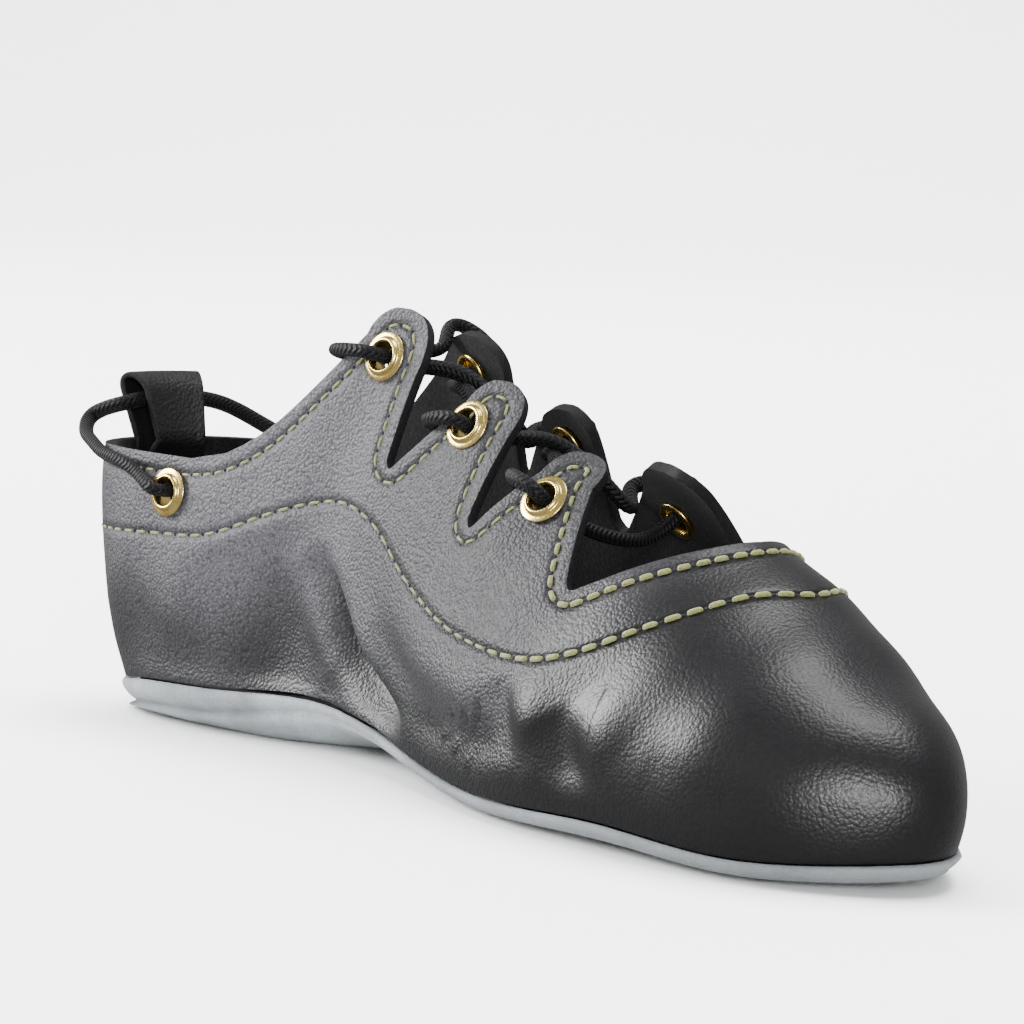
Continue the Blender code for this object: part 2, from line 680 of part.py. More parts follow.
def make_crossing(name, marks, from_tab, to_tab):
    """Two strands that cross between the tabs, joined into one solid."""
    starts = {side: strand_start(marks, side, from_tab) for side in (MEDIAL, LATERAL)}
    ends = [marks[side, to_tab][0] for side in (MEDIAL, LATERAL)]
    middle = sum([starts[MEDIAL][-1], starts[LATERAL][-1], *ends], Vector()) / 4 + Vector((0, 0, CROSS_LIFT))
    pair = []
    for side in (MEDIAL, LATERAL):
        centre = middle + Vector((0, 0, side * LACE_DIAMETER / 4))
        route = [*starts[side], centre, *strand_end(marks, -side, to_tab, centre)]
        pair.append(as_mesh(cord(f"{name}_{side}", route)))
    join = pair[0].modifiers.new("join", "BOOLEAN")
    join.operation = "UNION"
    join.object = pair[1]
    graph = bpy.context.evaluated_depsgraph_get()
    mesh = bpy.data.meshes.new_from_object(pair[0].evaluated_get(graph))
    for strand in pair:
        bpy.data.objects.remove(strand)
    return add_object(name, mesh, None)


def make_laces():
    """The bar in front, the two crossings, the bar over the collar and the loose heel lace."""
    marks = eyelet_marks()
    fronts = [marks[side, "front"][0] for side in (MEDIAL, LATERAL)]
    middle = (fronts[0] + fronts[1]) / 2 + Vector((BAR_SAG[0], 0, BAR_SAG[1])) + inward_mean(marks, "front")
    halves = [strand_end(marks, side, "front", middle) for side in (MEDIAL, LATERAL)]
    cord("lace_bar_front", [*halves[0][::-1], middle, *halves[1]])
    make_crossing("lace_cross_front", marks, "front", "middle")
    make_crossing("lace_cross_rear", marks, "middle", "top")
    halves = [strand_start(marks, side, "top") for side in (MEDIAL, LATERAL)]
    cord("lace_bar_top", [*halves[0], (halves[0][-1] + halves[1][-1]) / 2, *halves[1][::-1]])
    route = [Vector(row) * Vector((LENGTH, BALL_WIDTH, INSTEP_HEIGHT)) for row in HEEL_LACE]
    ends = [(marks[side, "heel"], route[k]) for side, k in ((MEDIAL, 0), (LATERAL, -1))]
    out, back = [[through(mark, high, toward) for high in (-WALL / 2, LACE_OVER)] for mark, toward in ends]
    cord("lace_heel", [*out, *route, *back[::-1]])


def inward_mean(marks, name):
    """The mean offset from two facing eyelets to the middle of a lace under their inner ends."""
    return sum((marks[side, name][1] * (INNER_END - LACE_DIAMETER) for side in (MEDIAL, LATERAL)), Vector()) / 2


def box_of(things):
    """Lowest and highest corners of objects as they are evaluated."""
    graph = bpy.context.evaluated_depsgraph_get()
    corners = []
    for thing in things:
        evaluated = thing.evaluated_get(graph)
        mesh = evaluated.to_mesh()
        corners += [evaluated.matrix_world @ v.co for v in mesh.vertices]
        evaluated.to_mesh_clear()
    corners = np.array(corners)
    return corners.min(axis=0), corners.max(axis=0)


for old in list(bpy.data.objects):
    bpy.data.objects.remove(old, do_unlink=True)
shoe = bpy.data.collections.new("ghillie_shoe")
cutters = bpy.data.collections.new("cutters")
for collection in (shoe, cutters):
    bpy.context.scene.collection.children.link(collection)

black_leather = make_material("black_leather", BLACK_LEATHER, 0.45)
suede = make_material("suede", SUEDE, 0.9)
lining = make_material("lining", LINING, 0.9)
brass = make_material("brass", BRASS, 0.25, 1.0)
lace_black = make_material("lace_black", LACE_BLACK, 0.6)

upper = make_upper()
make_outsole()
make_insole()
make_pull_loop()
make_eyelets(upper)
make_laces()

# The origin lies under the middle of the shoe
bpy.context.view_layer.update()
low, high = box_of([thing for thing in shoe.objects if thing.name != "lace_heel"])
origin = bpy.data.objects.new("shoe_origin", None)
shoe.objects.link(origin)
origin.location = (-(low[0] + high[0]) / 2, -(low[1] + high[1]) / 2, -low[2])
for thing in list(shoe.objects) + list(cutters.objects):
    if thing is not origin:
        thing.parent = origin
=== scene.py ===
"""A soft ghillie dance shoe for the left foot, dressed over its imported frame.

The heel is towards -X, the toe towards +X, the medial side towards -Y and the floor at Z = 0.
All lengths are in metres. The tables hold shares of the named sizes.
"""
from functools import lru_cache
from math import cos, pi, radians, sin

import bmesh
import bpy
import numpy as np
from mathutils import Matrix, Vector
from mathutils.bvhtree import BVHTree
from mathutils.kdtree import KDTree


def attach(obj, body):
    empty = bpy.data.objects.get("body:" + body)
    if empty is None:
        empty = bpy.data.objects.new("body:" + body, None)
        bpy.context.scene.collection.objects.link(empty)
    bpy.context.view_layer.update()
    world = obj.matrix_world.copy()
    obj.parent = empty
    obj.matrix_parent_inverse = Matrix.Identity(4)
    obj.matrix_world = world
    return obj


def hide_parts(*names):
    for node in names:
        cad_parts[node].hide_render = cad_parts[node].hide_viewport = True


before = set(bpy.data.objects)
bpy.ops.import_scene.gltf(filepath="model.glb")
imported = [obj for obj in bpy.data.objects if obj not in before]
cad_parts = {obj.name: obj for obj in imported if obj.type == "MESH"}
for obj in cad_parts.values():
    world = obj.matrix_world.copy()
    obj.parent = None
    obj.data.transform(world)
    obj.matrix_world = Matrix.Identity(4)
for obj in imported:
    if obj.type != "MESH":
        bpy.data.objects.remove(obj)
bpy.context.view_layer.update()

bl_info = {
    "name": "Ghillie dance shoe",
    "version": (1, 0, 0),
    "blender": (4, 5, 0),
    "location": "3D View > Sidebar > Shoe",
    "description": "Dresses a soft laced dance shoe: leather upper, seams, sole, eyelets and laces",
    "category": "Object",
}

GAP = 0.0003
MEDIAL, LATERAL = -1, 1

# Last
LENGTH = 0.245
BALL_WIDTH = 0.084
INSTEP_HEIGHT = 0.088
ARCH_EDGE = 0.010
RIDGE_SPREAD = 0.28
SPREAD_REACH = 0.39
SHOE_ORIGIN = Vector((-0.1236092, 0.000074, 0.0))

# Upper
WALL = 0.002
COLLAR_HEIGHT = INSTEP_HEIGHT * 0.608
NOTCH_DIP = 0.0011
THROAT_FRONT = 0.760
THROAT_CORNER = (0.663, 0.4875)
THROAT_SWEEP = 2.2
TIP_TURN = radians(80)

# Sole and insole
SOLE_THICKNESS = 0.0024
HEEL_THICKNESS = 0.0052
HEEL_BREAST = (0.20, 0.37)
SOLE_PROUD = 0.0008
ARCH_LIFT = 0.0012
ARCH_SPAN = (0.27, 0.60)
TOE_SPRING = 0.0015
SPRING_START = 0.86
FLAT_FROM = 0.45
SPINE_ENDS = (0.14, 0.86)
INSOLE_THICKNESS = 0.0012
INSOLE_INSET = 0.003
INSOLE_SEAT = 0.0005

# Eyelets
EYELET_BORE = 0.0026
EYELET_BARREL = 0.0031
EYELET_FLANGE = 0.0048
EYELET_ROLL = 0.0009
EYELET_ROLL_WIDTH = 0.0011
EYELET_SEAT = 0.0003
INNER_FLANGE = 0.0042
INNER_SEAT = 0.0008
HOLE_CLEARANCE = 0.0004
EYELET_SIDES = 12
EYELET_TOP = 0.0005 + EYELET_ROLL
INNER_END = -WALL - INNER_SEAT - EYELET_ROLL * 0.6

# Heel pull loop
LOOP_WIDTH = 0.018
LOOP_HEIGHT = COLLAR_HEIGHT + 0.0135
LOOP_FOOT = COLLAR_HEIGHT - 0.0125
LOOP_THICKNESS = 0.0012
LOOP_SPREAD = 0.0060
LOOP_LEAN = 0.4

# Laces
LACE_DIAMETER = 0.0026
LACE_TURN = 0.0031
LACE_OVER = EYELET_TOP + GAP + LACE_DIAMETER / 2
LACE_UNDER = LACE_DIAMETER / 2 + 0.0012
BAR_SAG = (0.002, -0.0025)
CROSS_LIFT = 0.0032

# Stations round the sole edge, from the heel along the medial side to the toe and back
STATION_COLUMNS = ("x", "y", "edge", "swell", "rise", "top", "crown")
STATIONS = {
    "heel_back":           (0.068, -0.010, 0.62, 0.256, 0.74, 0.110, 0.30),
    "heel_corner_medial":  (0.094, -0.178, 0.64, 0.226, 0.70, 0.125, 0.30),
    "heel_medial":         (0.155, -0.262, 0.84, 0.107, 0.52, 0.205, 0.30),
    "waist_medial":        (0.250, -0.252, 0.96, 0.065, 0.45, 0.305, 0.30),
    "arch":                (0.365, -0.215, 1.10, 0.060, 0.40, 0.415, 0.30),
    "joint_rear_medial":   (0.500, -0.280, 0.64, 0.089, 0.40, 0.540, 0.30),
    "joint_medial":        (0.640, -0.382, 0.43, 0.095, 0.45, 0.680, 0.35),
    "ball_medial":         (0.760, -0.398, 0.54, 0.083, 0.50, 0.770, 0.45),
    "toe_side_medial":     (0.870, -0.365, 0.42, 0.071, 0.55, 0.835, 0.55),
    "toe_corner_medial":   (0.944, -0.235, 0.52, 0.060, 0.60, 0.865, 0.60),
    "toe_tip":             (0.974, -0.080, 0.60, 0.071, 0.60, 0.870, 0.60),
    "toe_corner_lateral":  (0.936,  0.100, 0.56, 0.060, 0.60, 0.865, 0.60),
    "little_toe":          (0.840,  0.255, 0.46, 0.054, 0.60, 0.825, 0.55),
    "ball_lateral":        (0.720,  0.370, 0.42, 0.071, 0.50, 0.740, 0.50),
    "joint_lateral":       (0.600,  0.400, 0.42, 0.071, 0.45, 0.650, 0.35),
    "waist_front_lateral": (0.460,  0.350, 0.45, 0.060, 0.40, 0.510, 0.20),
    "waist_lateral":       (0.330,  0.295, 0.55, 0.060, 0.40, 0.385, 0.20),
    "waist_rear_lateral":  (0.230,  0.272, 0.65, 0.077, 0.45, 0.285, 0.25),
    "heel_lateral":        (0.145,  0.255, 0.70, 0.107, 0.52, 0.205, 0.30),
    "heel_corner_lateral": (0.094,  0.168, 0.64, 0.226, 0.70, 0.125, 0.30),
}
# The ridge of the instep, from over the heel to the toe: x, y and height
RIDGE = (
    (0.10,  0.00, 1.020),
    (0.25,  0.00, 1.050),
    (0.37, -0.02, 1.050),
    (0.49, -0.02, 0.925),
    (0.61, -0.01, 0.775),
    (0.72,  0.01, 0.645),
    (0.82,  0.01, 0.515),
    (0.90, -0.02, 0.380),
)
# The lace tabs, each point by column and height: rear foot, rear shoulder, tip, front shoulder, front foot
# and eyelet, then how much the rear edge sweeps
MEDIAL_TABS = {
    "top": (
        (0.190, 0.608), (0.336, 0.923), (0.357, 0.985), (0.404, 0.860), (0.407, 0.665), (0.364, 0.878), 2.0),
    "middle": (
        (0.417, 0.657), (0.463, 0.792), (0.478, 0.858), (0.517, 0.761), (0.524, 0.580), (0.478, 0.760), 1.0),
    "front": (
        (0.535, 0.568), (0.563, 0.688), (0.575, 0.735), (0.607, 0.670), (0.647, 0.500), (0.582, 0.636), 1.0),
}
LATERAL_TABS = {
    "top": (
        (0.190, 0.608), (0.327, 0.894), (0.357, 0.934), (0.399, 0.847), (0.403, 0.640), (0.360, 0.850), 1.5),
    "middle": (
        (0.413, 0.635), (0.443, 0.764), (0.472, 0.802), (0.501, 0.744), (0.505, 0.560), (0.473, 0.727), 1.0),
    "front": (
        (0.517, 0.545), (0.549, 0.659), (0.590, 0.718), (0.637, 0.648), (0.649, 0.500), (0.583, 0.601), 1.0),
}
HEEL_EYELET = (0.176, 0.526)
# Where a lace turns round a tab's rear edge: the share of the edge's height, or the point itself
TURN_AT = {"top": 0.86, "middle": 0.74, "front": 0.76}
TURN_POINTS = {(LATERAL, "top"): (0.337, 0.916)}
# The lace round the back of the heel, through the pull loop, from the medial side: x, y and height
HEEL_LACE = (
    (0.1550, -0.293, 0.556),
    (0.1350, -0.296, 0.578),
    (0.1000, -0.281, 0.589),
    (0.0650, -0.248, 0.609),
    (0.0370, -0.207, 0.628),
    (0.0250, -0.165, 0.655),
    (0.0380, -0.148, 0.676),
    (0.0525, -0.118, 0.692),
    (0.0500, -0.070, 0.698),
    (0.0485,  0.000, 0.700),
    (0.0500,  0.070, 0.700),
    (0.0545,  0.122, 0.695),
    (0.0600,  0.192, 0.674),
    (0.0760,  0.246, 0.640),
    (0.1020,  0.295, 0.598),
    (0.1390,  0.303, 0.557),
)
# The lower seam from the heel to the side of the vamp: column and height
LOWER_SEAM = (
    (0.095, 0.417), (0.191, 0.436), (0.220, 0.444), (0.272, 0.493), (0.322, 0.542), (0.371, 0.561),
    (0.407, 0.536), (0.464, 0.449), (0.510, 0.395), (0.556, 0.359), (0.600, 0.342), (0.640, 0.338),
)
# The lower seam over the vamp: column and how far up the section
VAMP_SEAM = ((0.700, 0.385), (0.745, 0.499), (0.782, 0.633), (0.813, 0.799))
VAMP_SEAM_FRONT = 0.822
# Creases of the upper: a line by column and height, its depth, its width and the lip in front of it
CREASES = {
    MEDIAL: (
        (((0.352, 0.460), (0.360, 0.430), (0.381, 0.353), (0.401, 0.274), (0.436, 0.190), (0.475, 0.120)),
         0.0064, 0.0034, 0.0006),
        (((0.290, 0.470), (0.310, 0.330), (0.335, 0.220), (0.362, 0.160)), 0.0040, 0.0120, 0.0),
        (((0.440, 0.330), (0.490, 0.240), (0.560, 0.175), (0.620, 0.160)), 0.0018, 0.0055, 0.0012),
        (((0.640, 0.300), (0.652, 0.225), (0.672, 0.150)), 0.0016, 0.0040, 0.0010),
        (((0.705, 0.260), (0.722, 0.190), (0.745, 0.120)), 0.0016, 0.0055, 0.0010),
        (((0.120, 0.330), (0.160, 0.230), (0.215, 0.160)), 0.0008, 0.0070, 0.0),
        (((0.800, 0.200), (0.850, 0.160), (0.890, 0.110)), 0.0005, 0.0060, 0.0),
    ),
    LATERAL: (
        (((0.320, 0.420), (0.345, 0.300), (0.380, 0.190), (0.420, 0.110)), 0.0012, 0.0050, 0.0007),
        (((0.560, 0.330), (0.575, 0.230), (0.600, 0.130)), 0.0010, 0.0045, 0.0006),
        (((0.640, 0.350), (0.665, 0.240), (0.690, 0.140)), 0.0011, 0.0050, 0.0007),
        (((0.440, 0.300), (0.500, 0.230), (0.560, 0.190)), 0.0008, 0.0070, 0.0),
        (((0.120, 0.330), (0.160, 0.230), (0.215, 0.160)), 0.0008, 0.0070, 0.0),
    ),
}

# Where the blacker leather low on the sides, darker there as painted shade, turns to grey: column, height,
# and over how much height
LOW_SHADE_EDGE = (
    (0.00, 0.34, 0.20), (0.12, 0.33, 0.20), (0.20, 0.29, 0.20), (0.30, 0.27, 0.18), (0.40, 0.26, 0.18),
    (0.46, 0.22, 0.10), (0.52, 0.185, 0.06), (0.58, 0.175, 0.06), (0.64, 0.21, 0.08), (0.69, 0.33, 0.20),
    (0.73, 0.48, 0.26),
    (0.77, 0.66, 0.26), (0.84, 0.95, 0.30), (1.00, 1.20, 0.30),
)
# How grey the grey leather is along the shoe, partly its own grey and partly painted light: column and share
GREY_AND_LIGHT_SHARE = ((0.0, 0.42), (0.10, 0.46), (0.25, 0.78), (0.39, 0.68), (0.46, 0.34), (0.60, 0.24))
# How much grey the low sides keep towards the heel, as painted light, and where along the shoe that ends
LOW_PAINTED_LIGHT = 0.28
LOW_PAINTED_LIGHT_ENDS = (0.42, 0.52)
# How far a crease is pushed in before its leather darkens as painted shade, over how much depth, and how
# dark it gets
CREASE_SHADE = (0.0016, 0.0030, 0.85)
# How far a crease reaches in front of its line and behind it, as shares of its width
CREASE_REACH = (0.7, 1.7)
CREASE_FADE = (0.006, 0.014)
RUMPLE = 0.00028
SMOOTH_FROM = (0.60, 0.80)
SMOOTH_BELOW = (-0.36, -0.20)
LOW_SMOOTH = 0.5


SIDE_NAMES = {MEDIAL: "medial", LATERAL: "lateral"}
TABS = {MEDIAL: MEDIAL_TABS, LATERAL: LATERAL_TABS}

# Seams
EDGE_STEP = 0.0004
SEAM_STEP = 0.0005
SEAM_REACH = 0.004
CHANNEL_WIDTH = 0.0009
CHANNEL_DEPTH = 0.0006
BOLD_FROM = (0.58, 0.68)
STITCH_LENGTH = 0.74
BOLD_LONGER = 0.10
STITCH_SCATTER = 0.04
STITCH_RINGS = 9
STITCH_SIDES = 8
PINHOLE = 0.00034

# Finish of the cut edges and the laces
WALL_ROUNDING = 0.00045
LOOP_ROUNDING = 0.0003
LACE_WIDTH = 0.0029
LACE_STEP = 0.0007
LACE_SIDES = 20
LACE_FLATNESS = 0.10
LACE_GROOVE = 0.10
WEAVE_PITCH = LACE_WIDTH * 0.34

# Side of the sole: its ripple, how far its top edge is tucked in, and how its side rounds under
SOLE_RIPPLE = 0.00012
SOLE_TUCK = (0.8, 0.25)
SOLE_ROUNDING = (0.8, 2.2)

# Stage
STAGE_TURN = radians(48.5)
FLOOR_SIDE = 5.0
FLOOR_ENDS = (-3.0, 2.2)
BEND_RADIUS = 1.0
BACKDROP_TOP = 3.5
DAYLIGHT = 0.45
LIGHT_AIM = (0, 0, 0.04)
# Lights: name, kind, place, width or angle, power, and whether glossy surfaces mirror it
LIGHTS = (
    ("softbox_left", "AREA", (-1.10, -0.75, 0.60), 0.7, 55.0, True),
    ("softbox_above", "AREA", (0.10, 0.25, 1.30), 0.6, 14.0, True),
    ("softbox_front", "AREA", (1.15, -0.90, 0.40), 0.46, 26.0, True),
    ("sky_light", "SUN", (-0.40, 0.35, 1.40), radians(60), 9.0, False),
)
# The light on the backdrop, and the point that it faces, along the stage's own axes
BACKDROP_LIGHT = (0, 1.3, 2.2)
BACKDROP_AIM = (0, 3.1, 0.5)

# Mesh
TAB_ACROSS = (42, 26, 30)
TAB_STEPS = 14
WALL_ROWS = 38
COLLAR_STEPS = 40
NOTCH_STEPS = 9
THROAT_STEPS = 24
VAMP_STEPS = 56
SOLE_COLUMNS = 150
WRAP = 4
WELD = 1e-6


class ShoeSizes(bpy.types.PropertyGroup):
    """Sizes of the finish that a user may change."""

    seam_inset: bpy.props.FloatProperty(
        name="Seam inset", description="From the cut edge to the seam beside it", default=0.0034,
        unit="LENGTH")
    stitch_pitch: bpy.props.FloatProperty(
        name="Stitch pitch", description="From one stitch to the next", default=0.0034, unit="LENGTH")
    vamp_pitch: bpy.props.FloatProperty(
        name="Vamp pitch", description="From one stitch of the lower seam to the next", default=0.0040,
        unit="LENGTH")
    thread_width: bpy.props.FloatProperty(
        name="Thread width", description="Width of a stitch over the vamp", default=0.00112, unit="LENGTH")
    fine_thread: bpy.props.FloatProperty(
        name="Fine thread width", description="Width of a stitch on the quarters and tabs", default=0.00056,
        unit="LENGTH")
    grain: bpy.props.FloatProperty(
        name="Grain size", description="Width of a pebble of the leather", default=0.00066, unit="LENGTH")
    camera_lens: bpy.props.FloatProperty(
        name="Lens", description="Focal length of the camera on a 36 mm sensor, in mm", default=142.12)
    camera_place: bpy.props.FloatVectorProperty(
        name="Camera place", description="Where the camera stands, from the back of the heel",
        default=(0.6822032, -0.4958511, 0.1305150), subtype="TRANSLATION", unit="LENGTH")
    camera_turn: bpy.props.FloatVectorProperty(
        name="Camera turn", description="Axis and angle of the camera's turn, as one vector in radians",
        default=(1.5438440, 0.7424949, -0.5970445))


class ShoeColours(bpy.types.PropertyGroup):
    """Colours that a user may change."""

    leather: bpy.props.FloatVectorProperty(
        name="Leather", description="Black leather of the vamp and low on the sides",
        default=(0.0042, 0.0042, 0.0048), subtype="COLOR")
    # The paler grey high on the quarters and tabs is partly the leather's own grey and partly painted light,
    # paler where the light falls on the upper sides.
    leather_grey_lit: bpy.props.FloatVectorProperty(
        name="Faded leather", description="Charcoal grey leather high on the quarters and tabs",
        default=(0.058, 0.057, 0.066), subtype="COLOR")
    lining: bpy.props.FloatVectorProperty(
        name="Lining", description="Flesh side of the leather", default=(0.005, 0.005, 0.0055),
        subtype="COLOR")
    suede: bpy.props.FloatVectorProperty(
        name="Suede", description="Pale grey suede of the sole", default=(0.25, 0.275, 0.29),
        subtype="COLOR")
    thread: bpy.props.FloatVectorProperty(
        name="Thread", description="Olive yellow thread", default=(0.14, 0.15, 0.034), subtype="COLOR")
    brass: bpy.props.FloatVectorProperty(
        name="Brass", description="Pale brass of the eyelets", default=(0.80, 0.61, 0.21), subtype="COLOR")
    lace: bpy.props.FloatVectorProperty(
        name="Lace", description="Black woven lace", default=(0.0026, 0.0026, 0.003), subtype="COLOR")
    floor: bpy.props.FloatVectorProperty(
        name="Floor", description="Pale floor", default=(0.93, 0.93, 0.93), subtype="COLOR")


class SmoothTable:
    """A natural cubic through the rows of a table, each row at its place."""

    def __init__(self, places, rows):
        self.places = np.asarray(places, float)
        self.rows = np.asarray(rows, float)
        count, gap = len(self.places), np.diff(self.places)
        matrix, right = np.eye(count), np.zeros_like(self.rows)
        slope = np.diff(self.rows, axis=0) / gap[:, None]
        for i in range(1, count - 1):
            matrix[i, i - 1:i + 2] = gap[i - 1], 2 * (gap[i - 1] + gap[i]), gap[i]
            right[i] = 6 * (slope[i] - slope[i - 1])
        self.bend = np.linalg.solve(matrix, right)

    def at(self, where):
        """The rows at some places."""
        where = np.atleast_1d(where).astype(float)
        i = np.clip(np.searchsorted(self.places, where, side="right") - 1, 0, len(self.places) - 2)
        gap = (self.places[i + 1] - self.places[i])[:, None]
        after = (where - self.places[i])[:, None] / gap
        before = 1 - after
        curved = (before**3 - before) * self.bend[i] + (after**3 - after) * self.bend[i + 1]
        return before * self.rows[i] + after * self.rows[i + 1] + curved * gap**2 / 6


def closed_table(rows):
    """The stations as a closed smooth table by distance round the edge, with that distance for each."""
    rows = np.array(rows)
    plan = rows[:, :2] * (LENGTH, BALL_WIDTH)
    steps = np.linalg.norm(np.roll(plan, -1, axis=0) - plan, axis=1)
    places = np.concatenate([[0], np.cumsum(steps)])
    turn = np.arange(-WRAP, len(rows) + WRAP + 1)
    wrapped = places[:-1][turn % len(rows)] + places[-1] * (turn // len(rows))
    return SmoothTable(wrapped, rows[turn % len(rows)]), places


EDGE, EDGE_PLACES = closed_table(list(STATIONS.values()))
TOE = EDGE_PLACES[list(STATIONS).index("toe_tip")]
ROUND = EDGE_PLACES[-1]
RIDGE_LINE = SmoothTable([row[0] for row in RIDGE], [row[1:] for row in RIDGE])
X, Y, EDGE_HEIGHT, SWELL, RISE, TOP, CROWN = range(len(STATION_COLUMNS))


def bisect(low, high, is_below):
    """The value between low and high where is_below turns false, for whole arrays."""
    for _ in range(36):
        middle = (low + high) / 2
        below = is_below(middle)
        low, high = np.where(below, middle, low), np.where(below, high, middle)
    return (low + high) / 2


def place_where(side, column, share):
    """The place round the edge, on one side, where a station column reaches a share."""
    share = np.atleast_1d(share).astype(float)
    start = np.zeros_like(share) if side == MEDIAL else np.full_like(share, ROUND)
    return bisect(start, np.full_like(share, TOE), lambda p: EDGE.at(p)[:, column] < share)


def edge_points(place):
    """Points of the sole edge, and the flat direction outward from each."""
    step = LENGTH * 1e-3
    plan = [EDGE.at(place + d)[:, :2] * (LENGTH, BALL_WIDTH) for d in (-step, 0, step)]
    along = unit(plan[2] - plan[0])
    height = EDGE.at(place)[:, EDGE_HEIGHT] * ARCH_EDGE
    outward = np.column_stack([along[:, 1], -along[:, 0], np.zeros(len(along))])
    return np.column_stack([plan[1], height]), outward


def ridge_points(share):
    """Points of the ridge at shares of the length, and its slope there."""
    step = 1e-3
    here, ahead = RIDGE_LINE.at(share), RIDGE_LINE.at(share + step)
    slope = (ahead - here)[:, 1] * INSTEP_HEIGHT / (step * LENGTH)
    return np.column_stack([share * LENGTH, here * (BALL_WIDTH, INSTEP_HEIGHT)]), slope


def profiles(place, top=None):
    """The four control points of the wall's section at each place, from the sole edge to the ridge."""
    place = np.atleast_1d(place).astype(float)
    station = EDGE.at(place)
    foot, outward = edge_points(place)
    share = station[:, TOP] if top is None else top
    ridge, slope = ridge_points(share)
    spread = np.clip((THROAT_FRONT - share) / SPREAD_REACH, 0, 1)**1.5
    ridge[:, 1] += RIDGE_SPREAD * spread * foot[:, 1]
    rise = (ridge - foot)[:, 2] * station[:, RISE]
    low = foot + outward * station[:, SWELL:SWELL + 1] * BALL_WIDTH
    low[:, 2] += rise
    inward = foot - ridge
    inward[:, 2] = slope * inward[:, 0]
    return foot, low, ridge + inward * station[:, CROWN:CROWN + 1], ridge


def on_last(place, up, top=None):
    """Points on the outside of the last: up runs from 0 at the sole edge to 1 at the ridge."""
    place, up = np.broadcast_arrays(np.atleast_1d(place).astype(float), np.atleast_1d(up))
    foot, low, high, ridge = profiles(place, top)
    up = up[:, None]
    down = 1 - up
    return down**3 * foot + 3 * down**2 * up * low + 3 * down * up**2 * high + up**3 * ridge


def up_at_height(place, height):
    """How far up each section reaches a height above the floor."""
    place, height = np.broadcast_arrays(np.atleast_1d(place).astype(float), np.atleast_1d(height))
    start = np.zeros(len(place))
    return bisect(start, start + 1, lambda up: on_last(place, up)[:, 2] < height)


def surface_mark(side, column, height):
    """A point on the upper's outside and its outward normal, by column and height shares."""
    place = place_where(side, X, column)
    up = up_at_height(place, height * INSTEP_HEIGHT)
    step = 1e-3
    here = on_last(place, up)[0]
    across = on_last(place + LENGTH * step, up)[0] - here
    upward = on_last(place, up + step)[0] - here
    return Vector(here), Vector(np.cross(across, upward)).normalized()


def distance_along(points):
    """The distance from the first of a line's points to each of them."""
    return np.concatenate([[0], np.cumsum(np.linalg.norm(np.diff(points, axis=0), axis=1))])


def unit(rows):
    """Each row scaled to a length of one."""
    return rows / np.linalg.norm(rows, axis=1)[:, None]


def near_tree(points):
    """A search tree of points."""
    tree = KDTree(len(points))
    for k, point in enumerate(points):
        tree.insert(point, k)
    tree.balance()
    return tree


def eased(x, span):
    """0 before the span, 1 after it, with a smooth step between."""
    share = np.clip((x - span[0]) / (span[1] - span[0]), 0, 1)
    return share * share * (3 - 2 * share)


# Meshes

class Sheet:
    """Grids of points welded into one mesh."""

    def __init__(self):
        self.work = bmesh.new()

    def add(self, grid):
        """Adds a grid of rows of points, whose normal is first direction x second direction."""
        rows = [[self.work.verts.new(point) for point in row] for row in grid]
        for here, ahead in zip(rows, rows[1:]):
            for k in range(len(here) - 1):
                self.work.faces.new((here[k], ahead[k], ahead[k + 1], here[k + 1]))

    def mesh(self, name):
        """The welded grids as a mesh, which ends the sheet."""
        bmesh.ops.remove_doubles(self.work, verts=self.work.verts, dist=WELD)
        made = bpy.data.meshes.new(name)
        self.work.to_mesh(made)
        self.work.free()
        return made


def add_piece(name, mesh, materials, nodes=()):
    """A smooth piece in the row frame that rides on the shoe and stands for its frame nodes."""
    mesh.transform(Matrix.Translation(SHOE_ORIGIN))
    for material in materials:
        mesh.materials.append(material)
    mesh.shade_smooth()
    piece = bpy.data.objects.new(name, mesh)
    bpy.context.scene.collection.objects.link(piece)
    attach(piece, "root")
    if nodes:
        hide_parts(*nodes)
    return piece


def add_rounding(piece, width):
    """Rounds the sharp edges of a piece."""
    rounding = piece.modifiers.new("rounding", "BEVEL")
    rounding.width, rounding.segments = width, 2
    rounding.limit_method, rounding.angle_limit = "ANGLE", radians(50)


def apply_modifiers(piece):
    """The piece's mesh as its modifiers leave it."""
    graph = bpy.context.evaluated_depsgraph_get()
    mesh = bpy.data.meshes.new_from_object(piece.evaluated_get(graph))
    piece.modifiers.clear()
    piece.data = mesh


def mesh_from(points, faces, name):
    """A mesh from points and faces."""
    mesh = bpy.data.meshes.new(name)
    mesh.from_pydata([tuple(p) for p in points], [], [tuple(int(k) for k in face) for face in faces])
    mesh.update()
    return mesh


# Finishes

